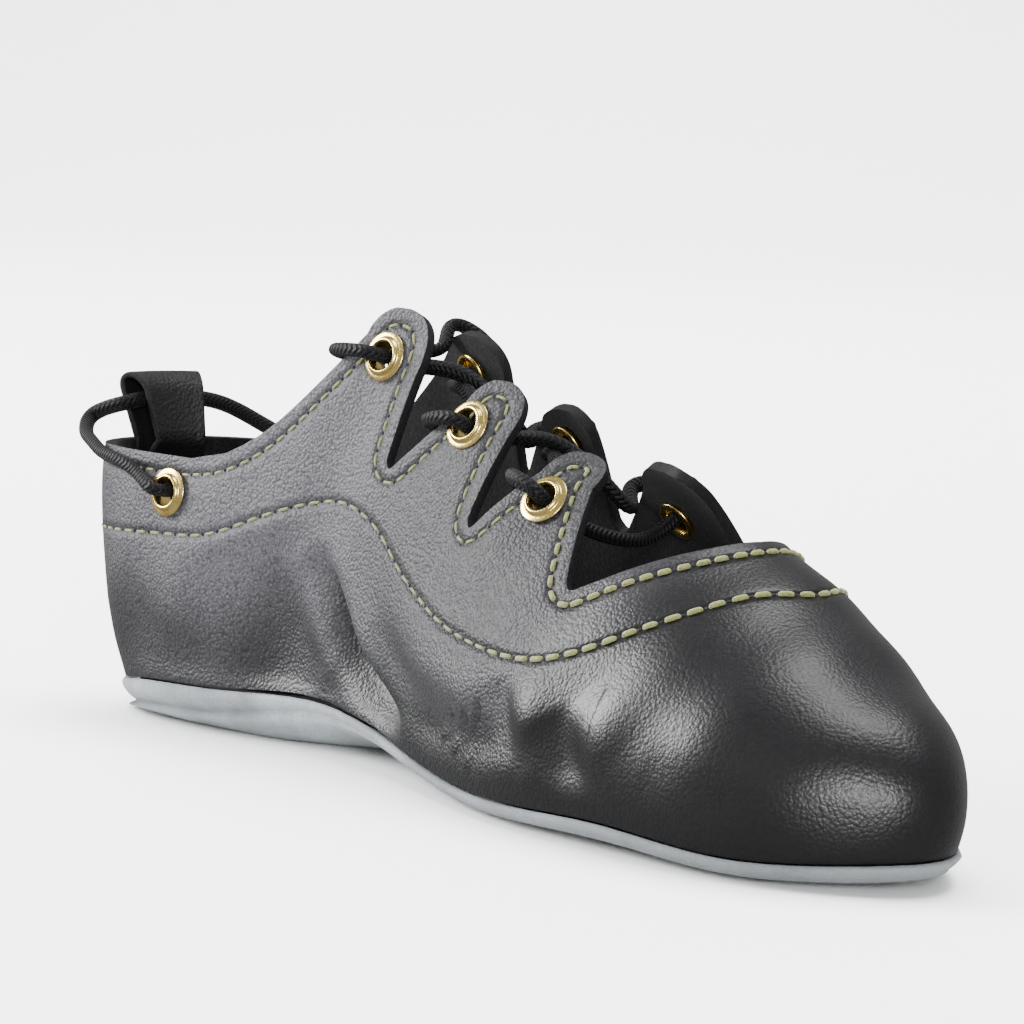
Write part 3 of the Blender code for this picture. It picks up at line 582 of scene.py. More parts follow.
class Finish:
    """A procedural material, built node by node."""

    def __init__(self, name, colour, roughness, **shader):
        self.material = bpy.data.materials.get(name)
        if self.material:
            bpy.data.materials.remove(self.material)
        self.material = bpy.data.materials.new(name)
        self.material.use_nodes = True
        self.material.diffuse_color = (*colour, 1)
        self.tree = self.material.node_tree
        self.shader = self.tree.nodes["Principled BSDF"]
        self.shader.inputs["Base Color"].default_value = (*colour, 1)
        self.shader.inputs["Roughness"].default_value = roughness
        for socket, value in shader.items():
            self.shader.inputs[socket.replace("_", " ")].default_value = value

    def feed(self, socket, value):
        """Links another node's output to a socket, or sets the socket to a value."""
        if isinstance(value, bpy.types.NodeSocket):
            self.tree.links.new(value, socket)
        else:
            socket.default_value = value

    def node(self, kind, output=0, settings=None, **inputs):
        """A node's output, with its inputs fed by name, or by number as i0, i1 and so on."""
        made = self.tree.nodes.new(f"ShaderNode{kind}")
        for name, value in (settings or {}).items():
            setattr(made, name, value)
        for name, value in inputs.items():
            numbered = name[0] == "i" and name[1:].isdigit()
            self.feed(made.inputs[int(name[1:]) if numbered else name.replace("_", " ")], value)
        return made.outputs[output]

    def place(self):
        """The place on the piece, in metres."""
        return self.node("TexCoord", 3)

    def axes(self, where):
        """The X, Y and Z outputs of a place."""
        parts = self.tree.nodes.new("ShaderNodeSeparateXYZ")
        self.tree.links.new(where, parts.inputs[0])
        return parts.outputs

    def attribute(self, name):
        """A value that the mesh keeps for each vertex."""
        return self.node("Attribute", 2, {"attribute_name": name})

    def noise(self, scale, detail):
        """Noise with so many waves in a metre."""
        return self.node("TexNoise", Vector=self.place(), Scale=scale, Detail=detail, Roughness=0.55)

    def cells(self, size, where):
        """Pebbles of a size, from 0 in the middle of each."""
        return self.node("TexVoronoi", Vector=where, Scale=1 / size)

    def math(self, operation, *values):
        """The result of an operation on values or outputs."""
        return self.node("Math", 0, {"operation": operation},
                         **{f"i{k}": value for k, value in enumerate(values)})

    def ramp(self, value, low, high, to_low=0.0, to_high=1.0):
        """A value carried from one span to another, and held at its ends."""
        return self.node("MapRange", Value=value, From_Min=low, From_Max=high, To_Min=to_low,
                         To_Max=to_high)

    def mix(self, share, first, second):
        """A colour between two colours or outputs."""
        made = self.tree.nodes.new("ShaderNodeMix")
        made.data_type = "RGBA"
        self.feed(made.inputs[0], share)
        for socket, value in ((made.inputs[6], first), (made.inputs[7], second)):
            self.feed(socket, value if isinstance(value, bpy.types.NodeSocket) else (*value, 1))
        return made.outputs[2]

    def bump(self, height, distance, strength=1.0, after=None):
        """A bent normal, on top of another where one is given."""
        inputs = {"Height": height, "Distance": distance, "Strength": strength}
        if after:
            inputs["Normal"] = after
        return self.node("Bump", **inputs)

    def link(self, value, socket):
        """Feeds one of the shader's own sockets."""
        self.tree.links.new(value, self.shader.inputs[socket])

    def fibres(self, noise, span, colour, other, distance, strength):
        """Mottles a colour with another by a noise, and raises the surface by the same noise."""
        self.link(self.mix(self.ramp(noise, *span), colour, other), "Base Color")
        self.link(self.bump(noise, distance, strength), "Normal")


def scaled(colour, factor):
    """A colour made lighter or darker."""
    return tuple(value * factor for value in colour)


def leather_finish(colours, sizes):
    """Pebbled leather: charcoal above and blacker below, partly its own tone and partly painted light and
    shade; smoother below, with a channel along the seams darkened as painted shade.
    """
    finish = Finish("black_leather", colours.leather, 0.46, Specular_IOR_Level=0.32)
    warped = finish.node("VectorMath", 0, {"operation": "MULTIPLY_ADD"}, i0=finish.noise(300, 2),
                         i1=(0.0008,) * 3, i2=finish.place())
    pebble, fine, broad = finish.cells(sizes.grain, warped), finish.noise(3200, 3), finish.noise(30, 4)
    smooth, grey_and_painted_light = finish.attribute("smooth"), finish.attribute("grey_and_painted_light")
    # Mixes in the paler grey by the stored share: partly the leather's own grey, partly painted light high
    # up and painted shade low on the sides and in the creases.
    tone = finish.math("MULTIPLY", grey_and_painted_light, finish.ramp(broad, 0.3, 0.7, 0.82, 1.1))
    colour = finish.mix(tone, colours.leather, colours.leather_grey_lit)
    deep = scaled(colours.leather, 0.6)
    colour = finish.mix(finish.ramp(pebble, 0.45, 0.8, 0.0, 0.5), colour, deep)
    speckle = finish.math("MULTIPLY", finish.ramp(finish.noise(2100, 2), 0.52, 0.66, 0.0, 0.55), grey_and_painted_light)
    colour = finish.mix(speckle, colour, scaled(colours.leather_grey_lit, 1.9))
    channels = []
    for seam in ("seam_top", "seam_lower"):
        share = finish.math("DIVIDE", finish.attribute(seam), CHANNEL_WIDTH)
        squared = finish.math("MULTIPLY", share, share)
        channels.append(finish.math("EXPONENT", finish.math("MULTIPLY", squared, -1.0)))
    channel = finish.math("MAXIMUM", *channels)
    # Darkens each seam's channel as painted shade in its groove.
    finish.link(finish.mix(finish.math("MULTIPLY", channel, 0.45), colour, deep), "Base Color")
    uneven, sheen = finish.ramp(fine, 0.3, 0.7, -0.05, 0.06), finish.ramp(smooth, 0, 1, 0.54, 0.35)
    finish.link(finish.math("ADD", uneven, sheen), "Roughness")
    groove = finish.bump(finish.math("MULTIPLY", channel, -1.0), CHANNEL_DEPTH)
    grain = finish.math("MULTIPLY", pebble, finish.ramp(smooth, 0, 1, -1.0, -0.30))
    finish.link(finish.bump(fine, 0.00005, 0.5, finish.bump(grain, 0.00022, 0.85, groove)), "Normal")
    return finish.material


def lining_finish(colours):
    """The flesh side of the leather: matte, with short nap."""
    finish = Finish("lining", colours.lining, 0.95, Specular_IOR_Level=0.1, Sheen_Weight=0.04,
                    Sheen_Roughness=0.5)
    lit = scaled(colours.lining, 2.4)
    finish.fibres(finish.noise(1500, 4), (0.4, 0.7), colours.lining, lit, 0.00025, 0.8)
    return finish.material


def edge_finish(colours):
    """The cut edge of the leather: burnished dark fibre."""
    finish = Finish("leather_edge", colours.leather, 0.62, Specular_IOR_Level=0.15)
    lit = scaled(colours.leather, 2.2)
    finish.fibres(finish.noise(2200, 5), (0.35, 0.75), colours.leather, lit, 0.0002, 0.7)
    return finish.material


def suede_finish(colours):
    """Pale grey suede: nap, soft mottling, handling marks, and darker towards the toe."""
    finish = Finish("suede", colours.suede, 0.95, Specular_IOR_Level=0.15, Sheen_Weight=0.1,
                    Sheen_Roughness=0.6)
    nap, mottle, marks = finish.noise(1300, 5), finish.noise(70, 5), finish.noise(22, 5)
    darker, darkest_suede = scaled(colours.suede, 0.55), scaled(colours.suede, 0.30)
    forward = finish.ramp(finish.axes(finish.place())[0], -0.04, 0.09, 0.0, 0.70)
    colour = finish.mix(finish.ramp(mottle, 0.38, 0.68), colours.suede, darker)
    colour = finish.mix(finish.ramp(marks, 0.52, 0.70, 0.0, 0.5), colour, darkest_suede)
    # Darkens the suede towards the toe.
    colour = finish.mix(forward, colour, darkest_suede)
    finish.link(finish.mix(finish.ramp(nap, 0.42, 0.72, 0.0, 0.5), colour, darker), "Base Color")
    finish.link(finish.bump(nap, 0.0004, 1.0, finish.bump(mottle, 0.0005, 0.5)), "Normal")
    return finish.material


def brass_finish(colours):
    """Pale plated brass with fine rubbing."""
    finish = Finish("brass", colours.brass, 0.22, Metallic=1.0)
    rub, cloud = finish.noise(2600, 4), finish.noise(420, 3)
    finish.link(finish.ramp(rub, 0.3, 0.7, 0.17, 0.34), "Roughness")
    dull = tuple(value * shade for value, shade in zip(colours.brass, (0.78, 0.70, 0.58)))
    finish.link(finish.mix(finish.ramp(cloud, 0.45, 0.7), colours.brass, dull), "Base Color")
    finish.link(finish.bump(rub, 0.00003, 0.5), "Normal")
    return finish.material


def thread_finish(colours):
    """Twisted olive yellow thread."""
    finish = Finish("thread", colours.thread, 0.6, Sheen_Weight=0.2)
    shade = scaled(colours.thread, 0.5)
    finish.fibres(finish.noise(2600, 3), (0.4, 0.65), colours.thread, shade, 0.0002, 0.8)
    return finish.material


def lace_finish(colours):
    """Woven black cord: a herringbone of plaited yarns round and along it."""
    finish = Finish("lace_black", colours.lace, 0.5, Specular_IOR_Level=0.12, Sheen_Weight=0.02,
                    Sheen_Roughness=0.4)
    along, around, _ = finish.axes(finish.node("UVMap"))
    yarns = []
    for turn in (1, -1):
        slope = finish.math("MULTIPLY_ADD", around, turn * 6.0, along)
        yarns.append(finish.math("SINE", finish.math("MULTIPLY", slope, 2 * pi)))
    choice = finish.ramp(finish.math("SINE", finish.math("MULTIPLY", around, 8 * pi)), -0.1, 0.1)
    weave = finish.node("Mix", 0, {"data_type": "FLOAT"}, i0=choice, i2=yarns[0], i3=yarns[1])
    lit = scaled(colours.lace, 3.0)
    finish.link(finish.mix(finish.ramp(weave, -0.2, 1.0), colours.lace, lit), "Base Color")
    plait = finish.bump(weave, 0.00014, 0.8)
    finish.link(finish.bump(finish.noise(4200, 3), 0.00008, 0.5, plait), "Normal")
    return finish.material


def floor_finish(colours):
    """A plain pale floor."""
    finish = Finish("floor", colours.floor, 0.9, Specular_IOR_Level=0.2)
    finish.link(finish.bump(finish.noise(60, 2), 0.0001, 0.2), "Normal")
    return finish.material


# Upper

def crease_depth(side, column, height):
    """How far the creases push the leather in, at column and height shares."""
    where = np.column_stack([column * LENGTH, height * INSTEP_HEIGHT])
    total = np.zeros(len(where))
    for line, depth, width, lip in CREASES[side]:
        line = np.array(line) * (LENGTH, INSTEP_HEIGHT)
        travel = distance_along(line)
        share = np.linspace(0, 1, 60)
        fine = SmoothTable(travel, line).at(share * travel[-1])
        apart = np.linalg.norm(where[:, None] - fine[None], axis=2)
        nearest = apart.argmin(axis=1)
        gap, along = apart.min(axis=1), share[nearest]
        fade = np.sin(pi * np.clip(along * 0.9, 0, 1))**0.8
        ahead = np.sign(where[:, 0] - fine[nearest, 0]) * gap
        reach = width * np.where(ahead > 0, *CREASE_REACH)
        total += depth * fade * np.exp(-(gap / reach)**2)
        total -= lip * fade * np.exp(-((ahead - width * 1.7) / (width * 1.2))**2)
    return total


def rumple(points):
    """Soft unevenness of leather that is worn in, in metres."""
    x, y, z = points.T / LENGTH
    broad = np.sin(41 * x + 17 * z) * np.sin(29 * z - 13 * y + 1.3)
    return RUMPLE * (broad + 0.6 * np.sin(77 * x - 31 * z + 2.1))


def top_edge(side):
    """Column and height shares along the collar and the tabs, from the heel to the throat's corner."""
    tabs = list(TABS[side].values())
    feet = [tab[0] for tab in tabs[1:]] + [THROAT_CORNER]
    line = []
    for tab, next_foot in zip(tabs, feet):
        rows = tab_rows(tab, 30)
        line += [rear for rear, _ in rows] + [front for _, front in rows[::-1]]
        line += list(notch(tab[4], next_foot, 12))[1:-1]
    return np.array(line + [THROAT_CORNER])


def tab_rows(tab, steps):
    """The two sides of a tab from its foot to its tip: column and height shares at even steps."""
    rear_foot, rear, tip, front, front_foot = (np.array(corner) for corner in tab[:5])
    sweep = tab[6]
    sides = []
    for step in np.linspace(0, 2, 2 * steps + 1):
        if step <= 1:
            swept = np.array((step**(1 / sweep), step))
            sides.append((rear_foot + (rear - rear_foot) * swept, front_foot + (front - front_foot) * step))
        else:
            turn = np.array((1 - cos(TIP_TURN * (step - 1)), sin(TIP_TURN * (step - 1))))
            sides.append((rear + (tip - rear) * turn, front + (tip - front) * turn))
    return sides


def between(first, last, count):
    """Column and height shares on a straight line, in even steps."""
    return np.array(first) + (np.array(last) - first) * np.linspace(0, 1, count)[:, None]


def notch(first, last, count):
    """Column and height shares across the rounded bottom of a notch."""
    line = between(first, last, count)
    line[:, 1] -= np.sin(np.linspace(0, pi, count)) * NOTCH_DIP / INSTEP_HEIGHT
    return line


def marks_on(side, marks):
    """Points on the last at column and height shares."""
    place = place_where(side, X, marks[:, 0])
    return on_last(place, up_at_height(place, marks[:, 1] * INSTEP_HEIGHT))


def top_line(side):
    """Places and tops of the wall's columns from the heel to the corner of the throat, block by block."""
    start = 0.0 if side == MEDIAL else ROUND
    tabs = list(TABS[side].values())
    place = np.linspace(start, place_where(side, X, tabs[0][0][0])[0], COLLAR_STEPS)
    yield place, up_at_height(place, COLLAR_HEIGHT)
    feet = [tab[0] for tab in tabs[1:]] + [THROAT_CORNER]
    for tab, across, next_foot in zip(tabs, TAB_ACROSS, feet):
        for line in (between(tab[0], tab[4], across), notch(tab[4], next_foot, NOTCH_STEPS)):
            place = place_where(side, X, line[:, 0])
            yield place, up_at_height(place, line[:, 1] * INSTEP_HEIGHT)


def throat_columns(side, steps):
    """Places and tops of the columns along the throat's curved edge, from its corner to the ridge."""
    corner, height = THROAT_CORNER
    start = place_where(side, X, corner)[0]
    end = place_where(side, TOP, THROAT_FRONT)[0]
    low = up_at_height(start, height * INSTEP_HEIGHT)[0]
    share = np.linspace(0, 1, steps)
    return end + (start - end) * (1 - share)**THROAT_SWEEP, low + (1 - low) * share


def vamp_columns(side):
    """Places and ridge shares of the columns in front of the throat: both sides meet on the ridge."""
    ends = [place_where(s, TOP, THROAT_FRONT)[0] for s in (side, MEDIAL)]
    share = np.linspace(0, 1, VAMP_STEPS)
    place, medial = [end + (TOE - end) * share for end in ends]
    return place, EDGE.at(medial)[:, TOP]


def facing(side, grid):
    """Turns a grid so that its faces point out of the shoe on either side."""
    return grid if side == MEDIAL else grid[::-1]


def upper_skin():
    """The upper's outer skin with its tabs and throat, on the smooth last."""
    skin = Sheet()
    rows = np.linspace(0, 1, WALL_ROWS)
    for side in (MEDIAL, LATERAL):
        for tab, across in zip(TABS[side].values(), TAB_ACROSS):
            rows_up = [between(rear, front, across) for rear, front in tab_rows(tab, TAB_STEPS)]
            grid = np.array([marks_on(side, row) for row in rows_up])
            skin.add(facing(side, grid.transpose(1, 0, 2)))
        for place, tops in [*top_line(side), throat_columns(side, THROAT_STEPS)]:
            columns = [on_last(np.full(len(rows), p), rows * top) for p, top in zip(place, tops)]
            skin.add(facing(side, columns))
        place, ridge = vamp_columns(side)
        columns = [on_last(np.full(len(rows), p), rows, np.full(len(rows), r))
                   for p, r in zip(place, ridge)]
        skin.add(facing(side, columns))
    return skin.mesh("upper")


def shape_skin(mesh):
    """Pushes the creases and the soft unevenness into the skin, fading to nothing at the sole edge."""
    count = len(mesh.vertices)
    points, normals = np.empty(count * 3), np.empty(count * 3)
    mesh.vertices.foreach_get("co", points)
    mesh.vertices.foreach_get("normal", normals)
    points, normals = points.reshape(-1, 3), normals.reshape(-1, 3)
    fade = eased(points[:, 2], CREASE_FADE)
    push = -rumple(points)
    for side in (MEDIAL, LATERAL):
        mine = points[:, 1] * side > 0
        push[mine] += crease_depth(side, points[mine, 0] / LENGTH, points[mine, 2] / INSTEP_HEIGHT)
    points -= normals * (push * fade)[:, None]
    mesh.vertices.foreach_set("co", points.ravel())
    mesh.update()
    return points


def smooth_route(points, step):
    """Points at even steps along a smooth curve through a route's own points."""
    points = np.array([tuple(p) for p in points])
    travel = distance_along(points)
    count = max(int(round(travel[-1] / step)), 3) + 1
    return SmoothTable(travel, points).at(np.linspace(0, travel[-1], count))


def even_line(points, step):
    """Points at even steps along a line of close points."""
    points = np.asarray(points)
    travel = distance_along(points)
    where = np.arange(0, travel[-1], step)
    return np.column_stack([np.interp(where, travel, points[:, k]) for k in range(3)])


def cut_edge():
    """The cut edge of the opening as one line, from the heel along the medial side and back."""
    halves = []
    for side in (MEDIAL, LATERAL):
        start = 0.0 if side == MEDIAL else ROUND
        place = np.linspace(start, place_where(side, X, TABS[side]["top"][0][0])[0], 60)
        collar = on_last(place, up_at_height(place, COLLAR_HEIGHT))
        place, tops = throat_columns(side, 60)
        halves.append(np.vstack([collar, marks_on(side, top_edge(side)), on_last(place, tops)]))
    return even_line(np.vstack([halves[0], halves[1][::-1]]), EDGE_STEP)


def settle(line, tree):
    """A line laid on the leather: its points and the leather's normals there."""
    found = [tree.find_nearest(Vector(point)) for point in line]
    return np.array([hit[0] for hit in found]), np.array([hit[1] for hit in found])


def smoothed(line, times):
    """A line with each inner point drawn towards its neighbours, several times over."""
    for _ in range(times):
        line = np.vstack([line[:1], (line[:-2] + 2 * line[1:-1] + line[2:]) / 4, line[-1:]])
    return line


def top_seam(tree, inset):
    """The seam beside the cut edge, an even distance in from it."""
    edge = cut_edge()
    _, normals = settle(edge, tree)
    along = unit(smoothed(np.gradient(edge, axis=0), 3))
    line = edge + np.cross(along, normals) * inset
    near = near_tree(edge)
    line = np.array([point for point in line if near.find(point)[2] > inset * 0.965])
    return even_line(smoothed(line, 6), SEAM_STEP)


def lower_seam():
    """The seam from heel to heel along the quarters and over the vamp."""
    halves = []
    for side in (MEDIAL, LATERAL):
        back = on_last(np.array([0.0]), up_at_height(0.0, LOWER_SEAM[0][1] * INSTEP_HEIGHT * 0.985))
        vamp = np.array(VAMP_SEAM)
        top = on_last(place_where(side, X, vamp[:, 0]), vamp[:, 1])
        halves.append((back, marks_on(side, np.array(LOWER_SEAM)), top))
    front = ridge_points(np.array([VAMP_SEAM_FRONT]))[0]
    medial, lateral = [np.vstack(half) for half in halves]
    return smooth_route(np.vstack([medial, front, lateral[::-1]]), SEAM_STEP)


def store(mesh, name, values):
    """Keeps a value for each vertex under a name that the materials read."""
    mesh.attributes.new(name, "FLOAT", "POINT").data.foreach_set("value", values)


def mark_seams(mesh, points, seams):
    """Stores each vertex's distance across each seam, how smooth its leather is, and how much paler grey it
    takes, partly its own grey and partly painted light and shade.
    """
    for name, (spots, normals) in seams.items():
        sideways = unit(np.cross(np.gradient(spots, axis=0), normals))
        near = near_tree(spots)
        distance = np.empty(len(points))
        for k, point in enumerate(points):
            _, index, gap = near.find(point)
            across = np.dot(point - spots[index], sideways[index])
            distance[k] = across if gap < SEAM_REACH else np.copysign(gap, across)
        store(mesh, name, distance)
    x, z = points[:, 0] / LENGTH, points[:, 2] / INSTEP_HEIGHT
    store(mesh, "smooth", np.clip(eased(x, SMOOTH_FROM) + eased(-z, SMOOTH_BELOW) * LOW_SMOOTH, 0, 1))
    # The paler grey rises above painted shade low on the sides, and its share along the shoe is partly the
    # leather's own grey and partly painted light.
    columns, heights, spans = zip(*LOW_SHADE_EDGE)
    edge, soft = np.interp(x, columns, heights), np.interp(x, columns, spans)
    grey_and_painted_light = eased((z - edge) / soft, (-0.5, 0.5))
    low = LOW_PAINTED_LIGHT * (1 - eased(x, LOW_PAINTED_LIGHT_ENDS))
    grey_and_painted_light = (low + (1 - low) * grey_and_painted_light) * np.interp(x, *zip(*GREY_AND_LIGHT_SHARE))
    # Darkens the creases as painted shade, more where they are pushed in deeper.
    start, span, dark = CREASE_SHADE
    for side in (MEDIAL, LATERAL):
        mine = points[:, 1] * side > 0
        grey_and_painted_light[mine] *= 1 - dark * np.clip((crease_depth(side, x[mine], z[mine]) - start) / span, 0, 1)
    store(mesh, "grey_and_painted_light", grey_and_painted_light)


@lru_cache(1)
def leather_seams():
    """The shaped skin's points and faces, and each seam as points on it with the leather's normals."""
    mesh = upper_skin()
    points = shape_skin(mesh)
    faces = [tuple(face.vertices) for face in mesh.polygons]
    tree = BVHTree.FromPolygons([tuple(point) for point in points], faces)
    inset = bpy.context.scene.shoe_sizes.seam_inset
    seams = {"seam_top": settle(top_seam(tree, inset), tree), "seam_lower": settle(lower_seam(), tree)}
    return mesh, points, seams


def tube_faces(start, rings, sides):
    """The faces of a closed tube of rings of points, quads ring by ring and then both ends."""
    faces = []
    for ring_start in range(start, start + (rings - 1) * sides, sides):
        for s in range(sides):
            a, b = ring_start + s, ring_start + (s + 1) % sides
            faces.append((a, b, b + sides, a + sides))
    first = [start + s for s in range(sides)]
    return faces + [first[::-1], [k + (rings - 1) * sides for k in first]]


def stitches(line, normals, pitch, fine, bold):
    """Stitches along a seam, finer on the quarters than over the vamp, and a small dark disc between each
    two as the painted shade of a pinhole.
    """
    travel = distance_along(line)
    count = int(travel[-1] / pitch)
    points, faces, pinhole_shades = [], [], []
    turn = np.linspace(0, 2 * pi, STITCH_SIDES, endpoint=False)
    share = np.linspace(-1, 1, STITCH_RINGS)
    full = np.sqrt(np.clip(1.02 - share**4, 0, 1))
    random = np.random.default_rng(7)

    def section(where):
        """The seam's points, normals and sideways directions at distances along it."""
        spine, normal = [np.column_stack([np.interp(where, travel, rows[:, a]) for a in range(3)])
                         for rows in (line, normals)]
        normal = unit(normal)
        return spine, normal, unit(np.cross(normal, np.gradient(spine, axis=0)))

    for k in range(count):
        column = line[min(int((k + 0.5) / count * len(line)), len(line) - 1), 0] / LENGTH
        scatter = random.uniform(-STITCH_SCATTER, STITCH_SCATTER)
        length = pitch * (STITCH_LENGTH + BOLD_LONGER * eased(column, BOLD_FROM) + scatter)
        middle = (k + 0.5) * travel[-1] / count + random.uniform(-STITCH_SCATTER, STITCH_SCATTER) * pitch
        spine, normal, across = section(middle + share / 2 * length)
        vamp = eased(spine[STITCH_RINGS // 2, 0] / LENGTH, BOLD_FROM)
        width = fine + (bold - fine) * vamp
        lift = width * (0.05 + 0.11 * vamp - 0.62 * share**6)
        faces += tube_faces(len(points), STITCH_RINGS, STITCH_SIDES)
        for r in range(STITCH_RINGS):
            for angle in turn:
                points.append(spine[r] + normal[r] * (lift[r] + sin(angle) * width * 0.42 * full[r])
                              + across[r] * cos(angle) * width * 0.5 * full[r])
    # A small dark disc at each pinhole, standing for the shade inside the hole.
    for k in range(count):
        spine, normal, across = section(k * travel[-1] / count + np.array((-0.0002, 0, 0.0002)))
        along = np.cross(across[1], normal[1])
        pinhole_shades += tube_faces(len(points), 3, STITCH_SIDES)
        for reach, lift in ((PINHOLE, -0.0001), (PINHOLE, 0.00004), (PINHOLE * 0.5, 0.00005)):
            for angle in turn:
                round_hole = (across[1] * cos(angle) + along * sin(angle)) * reach
                points.append(spine[1] + normal[1] * lift + round_hole)
    return points, faces, pinhole_shades


def joined(parts, name):
    """Several meshes, each as its points and faces, as one."""
    points, faces = [], []
    for more_points, more_faces in parts:
        faces += [[k + len(points) for k in face] for face in more_faces]
        points += list(more_points)
    return mesh_from(points, faces, name)


# Sole and insole

def arch_at(x):
    """0 under the heel and the ball, 1 in the middle of the arch."""
    return np.sin(pi * np.clip((x - ARCH_SPAN[0]) / (ARCH_SPAN[1] - ARCH_SPAN[0]), 0, 1))**2


def lift_at(x):
    """Height of the underside along the middle of the sole: flat under heel and ball."""
    return ARCH_LIFT * arch_at(x) + TOE_SPRING * np.clip((x - SPRING_START) / (1 - SPRING_START), 0, 1)**2


def thickness_at(x):
    """Thickness of the sole, thicker under the heel."""
    return HEEL_THICKNESS + (SOLE_THICKNESS - HEEL_THICKNESS) * eased(x, HEEL_BREAST)


def sole_lines(count):
    """Lines of the sole from its edge to its spine: heel to toe on one side, back on the other."""
    share = np.linspace(0, 1, count)
    sides = [TOE * share, ROUND - (ROUND - TOE) * share]
    edges = [edge_points(place) for place in sides]
    middle = sum(foot for foot, _ in edges) / 2
    spine_x = np.clip(middle[:, 0], *(end * LENGTH for end in SPINE_ENDS))
    order = np.argsort(middle[:, 0])
    spine_y = np.interp(spine_x, middle[order, 0], middle[order, 1])
    spine = np.column_stack([spine_x, spine_y])
    foot = np.vstack([edges[0][0], edges[1][0][-2:0:-1]])
    outward = np.vstack([edges[0][1], edges[1][1][-2:0:-1]])
    return foot, outward, np.vstack([spine, spine[-2:0:-1]])


def underside(foot, x, inward):
    """Height of the sole's underside at a share of the way from its edge to its spine."""
    edge = foot[:, 2] - GAP - thickness_at(foot[:, 0] / LENGTH)
    middle = lift_at(x / LENGTH)
    reach = FLAT_FROM + (1 - FLAT_FROM) * arch_at(x / LENGTH)
    rise = np.clip(1 - inward / reach, 0, 1)**2
    return middle + (edge - middle) * rise


def ring(lines, inward, offset, layer, above=0.0):
    """One ring of points, a share of the way inward: layer is a share of the sole's thickness."""
    foot, outward, spine = lines
    inward = np.broadcast_to(inward, len(foot))
    plan = foot[:, :2] + (spine - foot[:, :2]) * inward[:, None]
    thick = thickness_at(plan[:, 0] / LENGTH)
    level = underside(foot, plan[:, 0], inward) + thick * layer + above
    return np.column_stack([plan + outward[:, :2] * np.reshape(offset, (-1, 1)), level])


def closed_rings(name, rings):
    """A closed solid from rings that run from the middle of its top round its edge to the middle below."""
    solid = Sheet()
    grid = np.array([np.vstack([one, one[:1]]) for one in rings])
    solid.add(grid.transpose(1, 0, 2)[:, ::-1])
    return solid.mesh(name)


def outsole_mesh():
    """The sole, with a soft edge that rounds under and a slightly uneven side."""
    lines = sole_lines(SOLE_COLUMNS)
    thick = thickness_at(lines[0][:, 0] / LENGTH)
    turn = np.arange(len(thick))
    ripple = SOLE_RIPPLE * np.sin(turn * 1.7) * np.sin(turn * 0.37)
    (tuck, tuck_depth), (under, power) = SOLE_TUCK, SOLE_ROUNDING
    steps = np.linspace(1, 0.05, 12)
    rings = [ring(lines, share, 0, 1) for share in steps]
    for down in np.linspace(0, 1, 9):
        tucked = SOLE_PROUD * tuck * np.clip(1 - down / tuck_depth, 0, 1)**2
        rings.append(ring(lines, 0, SOLE_PROUD - tucked + ripple - thick * under * down**power, 1 - down))
    rings += [ring(lines, share, 0, 0) for share in steps[::-1]]
    return closed_rings("outsole", rings)


def insole_mesh():
    """The thin sock inside, clear of the wall all round."""
    lines = sole_lines(SOLE_COLUMNS)
    foot, _, spine = lines
    reach = INSOLE_INSET / np.linalg.norm(spine - foot[:, :2], axis=1)
    steps = [reach] + [np.maximum(reach, share) for share in np.linspace(0.2, 1.0, 8)]
    rings = [ring(lines, inward, 0, 1, INSOLE_SEAT + INSOLE_THICKNESS) for inward in reversed(steps)]
    rings += [ring(lines, inward, 0, 1, INSOLE_SEAT) for inward in steps]
    return closed_rings("insole", rings)


# Heel pull loop

def inside_heel(across, depth, height):
    """A point inside the back wall at a distance across the shoe, or leaning back above that wall."""
    depth -= LOOP_LEAN * max(height - COLLAR_HEIGHT, 0)
    search = np.linspace(-0.1, 0.1, 41) * ROUND
    wall = on_last(search, up_at_height(search, min(height, COLLAR_HEIGHT)))
    inward = -edge_points(search)[1]
    line = np.column_stack([wall[:, :2], inward[:, :2]])[::-1]
    x, toward_x, toward_y = [np.interp(across, line[:, 1], line[:, k]) for k in (0, 2, 3)]
    return x + toward_x * depth, across + toward_y * depth, height


def loop_rows():
    """Depth behind the wall and height of the folded strip, from its outer foot over the fold and down."""
    back = WALL * 1.1 + GAP + LOOP_THICKNESS / 2
    fold = LOOP_SPREAD / 2
    turn_height = LOOP_HEIGHT - fold - LOOP_THICKNESS / 2
    rows = [(back, height) for height in np.linspace(LOOP_FOOT, COLLAR_HEIGHT, 6)]
    rows += [(back, height) for height in np.linspace(COLLAR_HEIGHT, turn_height, 6)[1:-1]]
    rows += [(back + fold * (1 - cos(turn)), turn_height + fold * sin(turn))
             for turn in np.linspace(0, pi, 16)]
    inner = np.array([
        (back + LOOP_SPREAD, turn_height), (back + LOOP_SPREAD * 0.9, COLLAR_HEIGHT),
        (back + LOOP_THICKNESS + GAP, (LOOP_FOOT + COLLAR_HEIGHT) / 2),
        (back + LOOP_THICKNESS + GAP, LOOP_FOOT)])
    share = np.linspace(0, 3, 16)[1:]
    return rows + list(np.column_stack([np.interp(share, range(4), inner[:, k]) for k in (0, 1)]))


# Eyelets

def eyelet_marks():
    """The point and outward normal of each eyelet, by side and name."""
    marks = {}
    for side in (MEDIAL, LATERAL):
        for name, tab in TABS[side].items():
            marks[side, name] = surface_mark(side, *tab[5])
        marks[side, "heel"] = surface_mark(side, *HEEL_EYELET)
    return marks


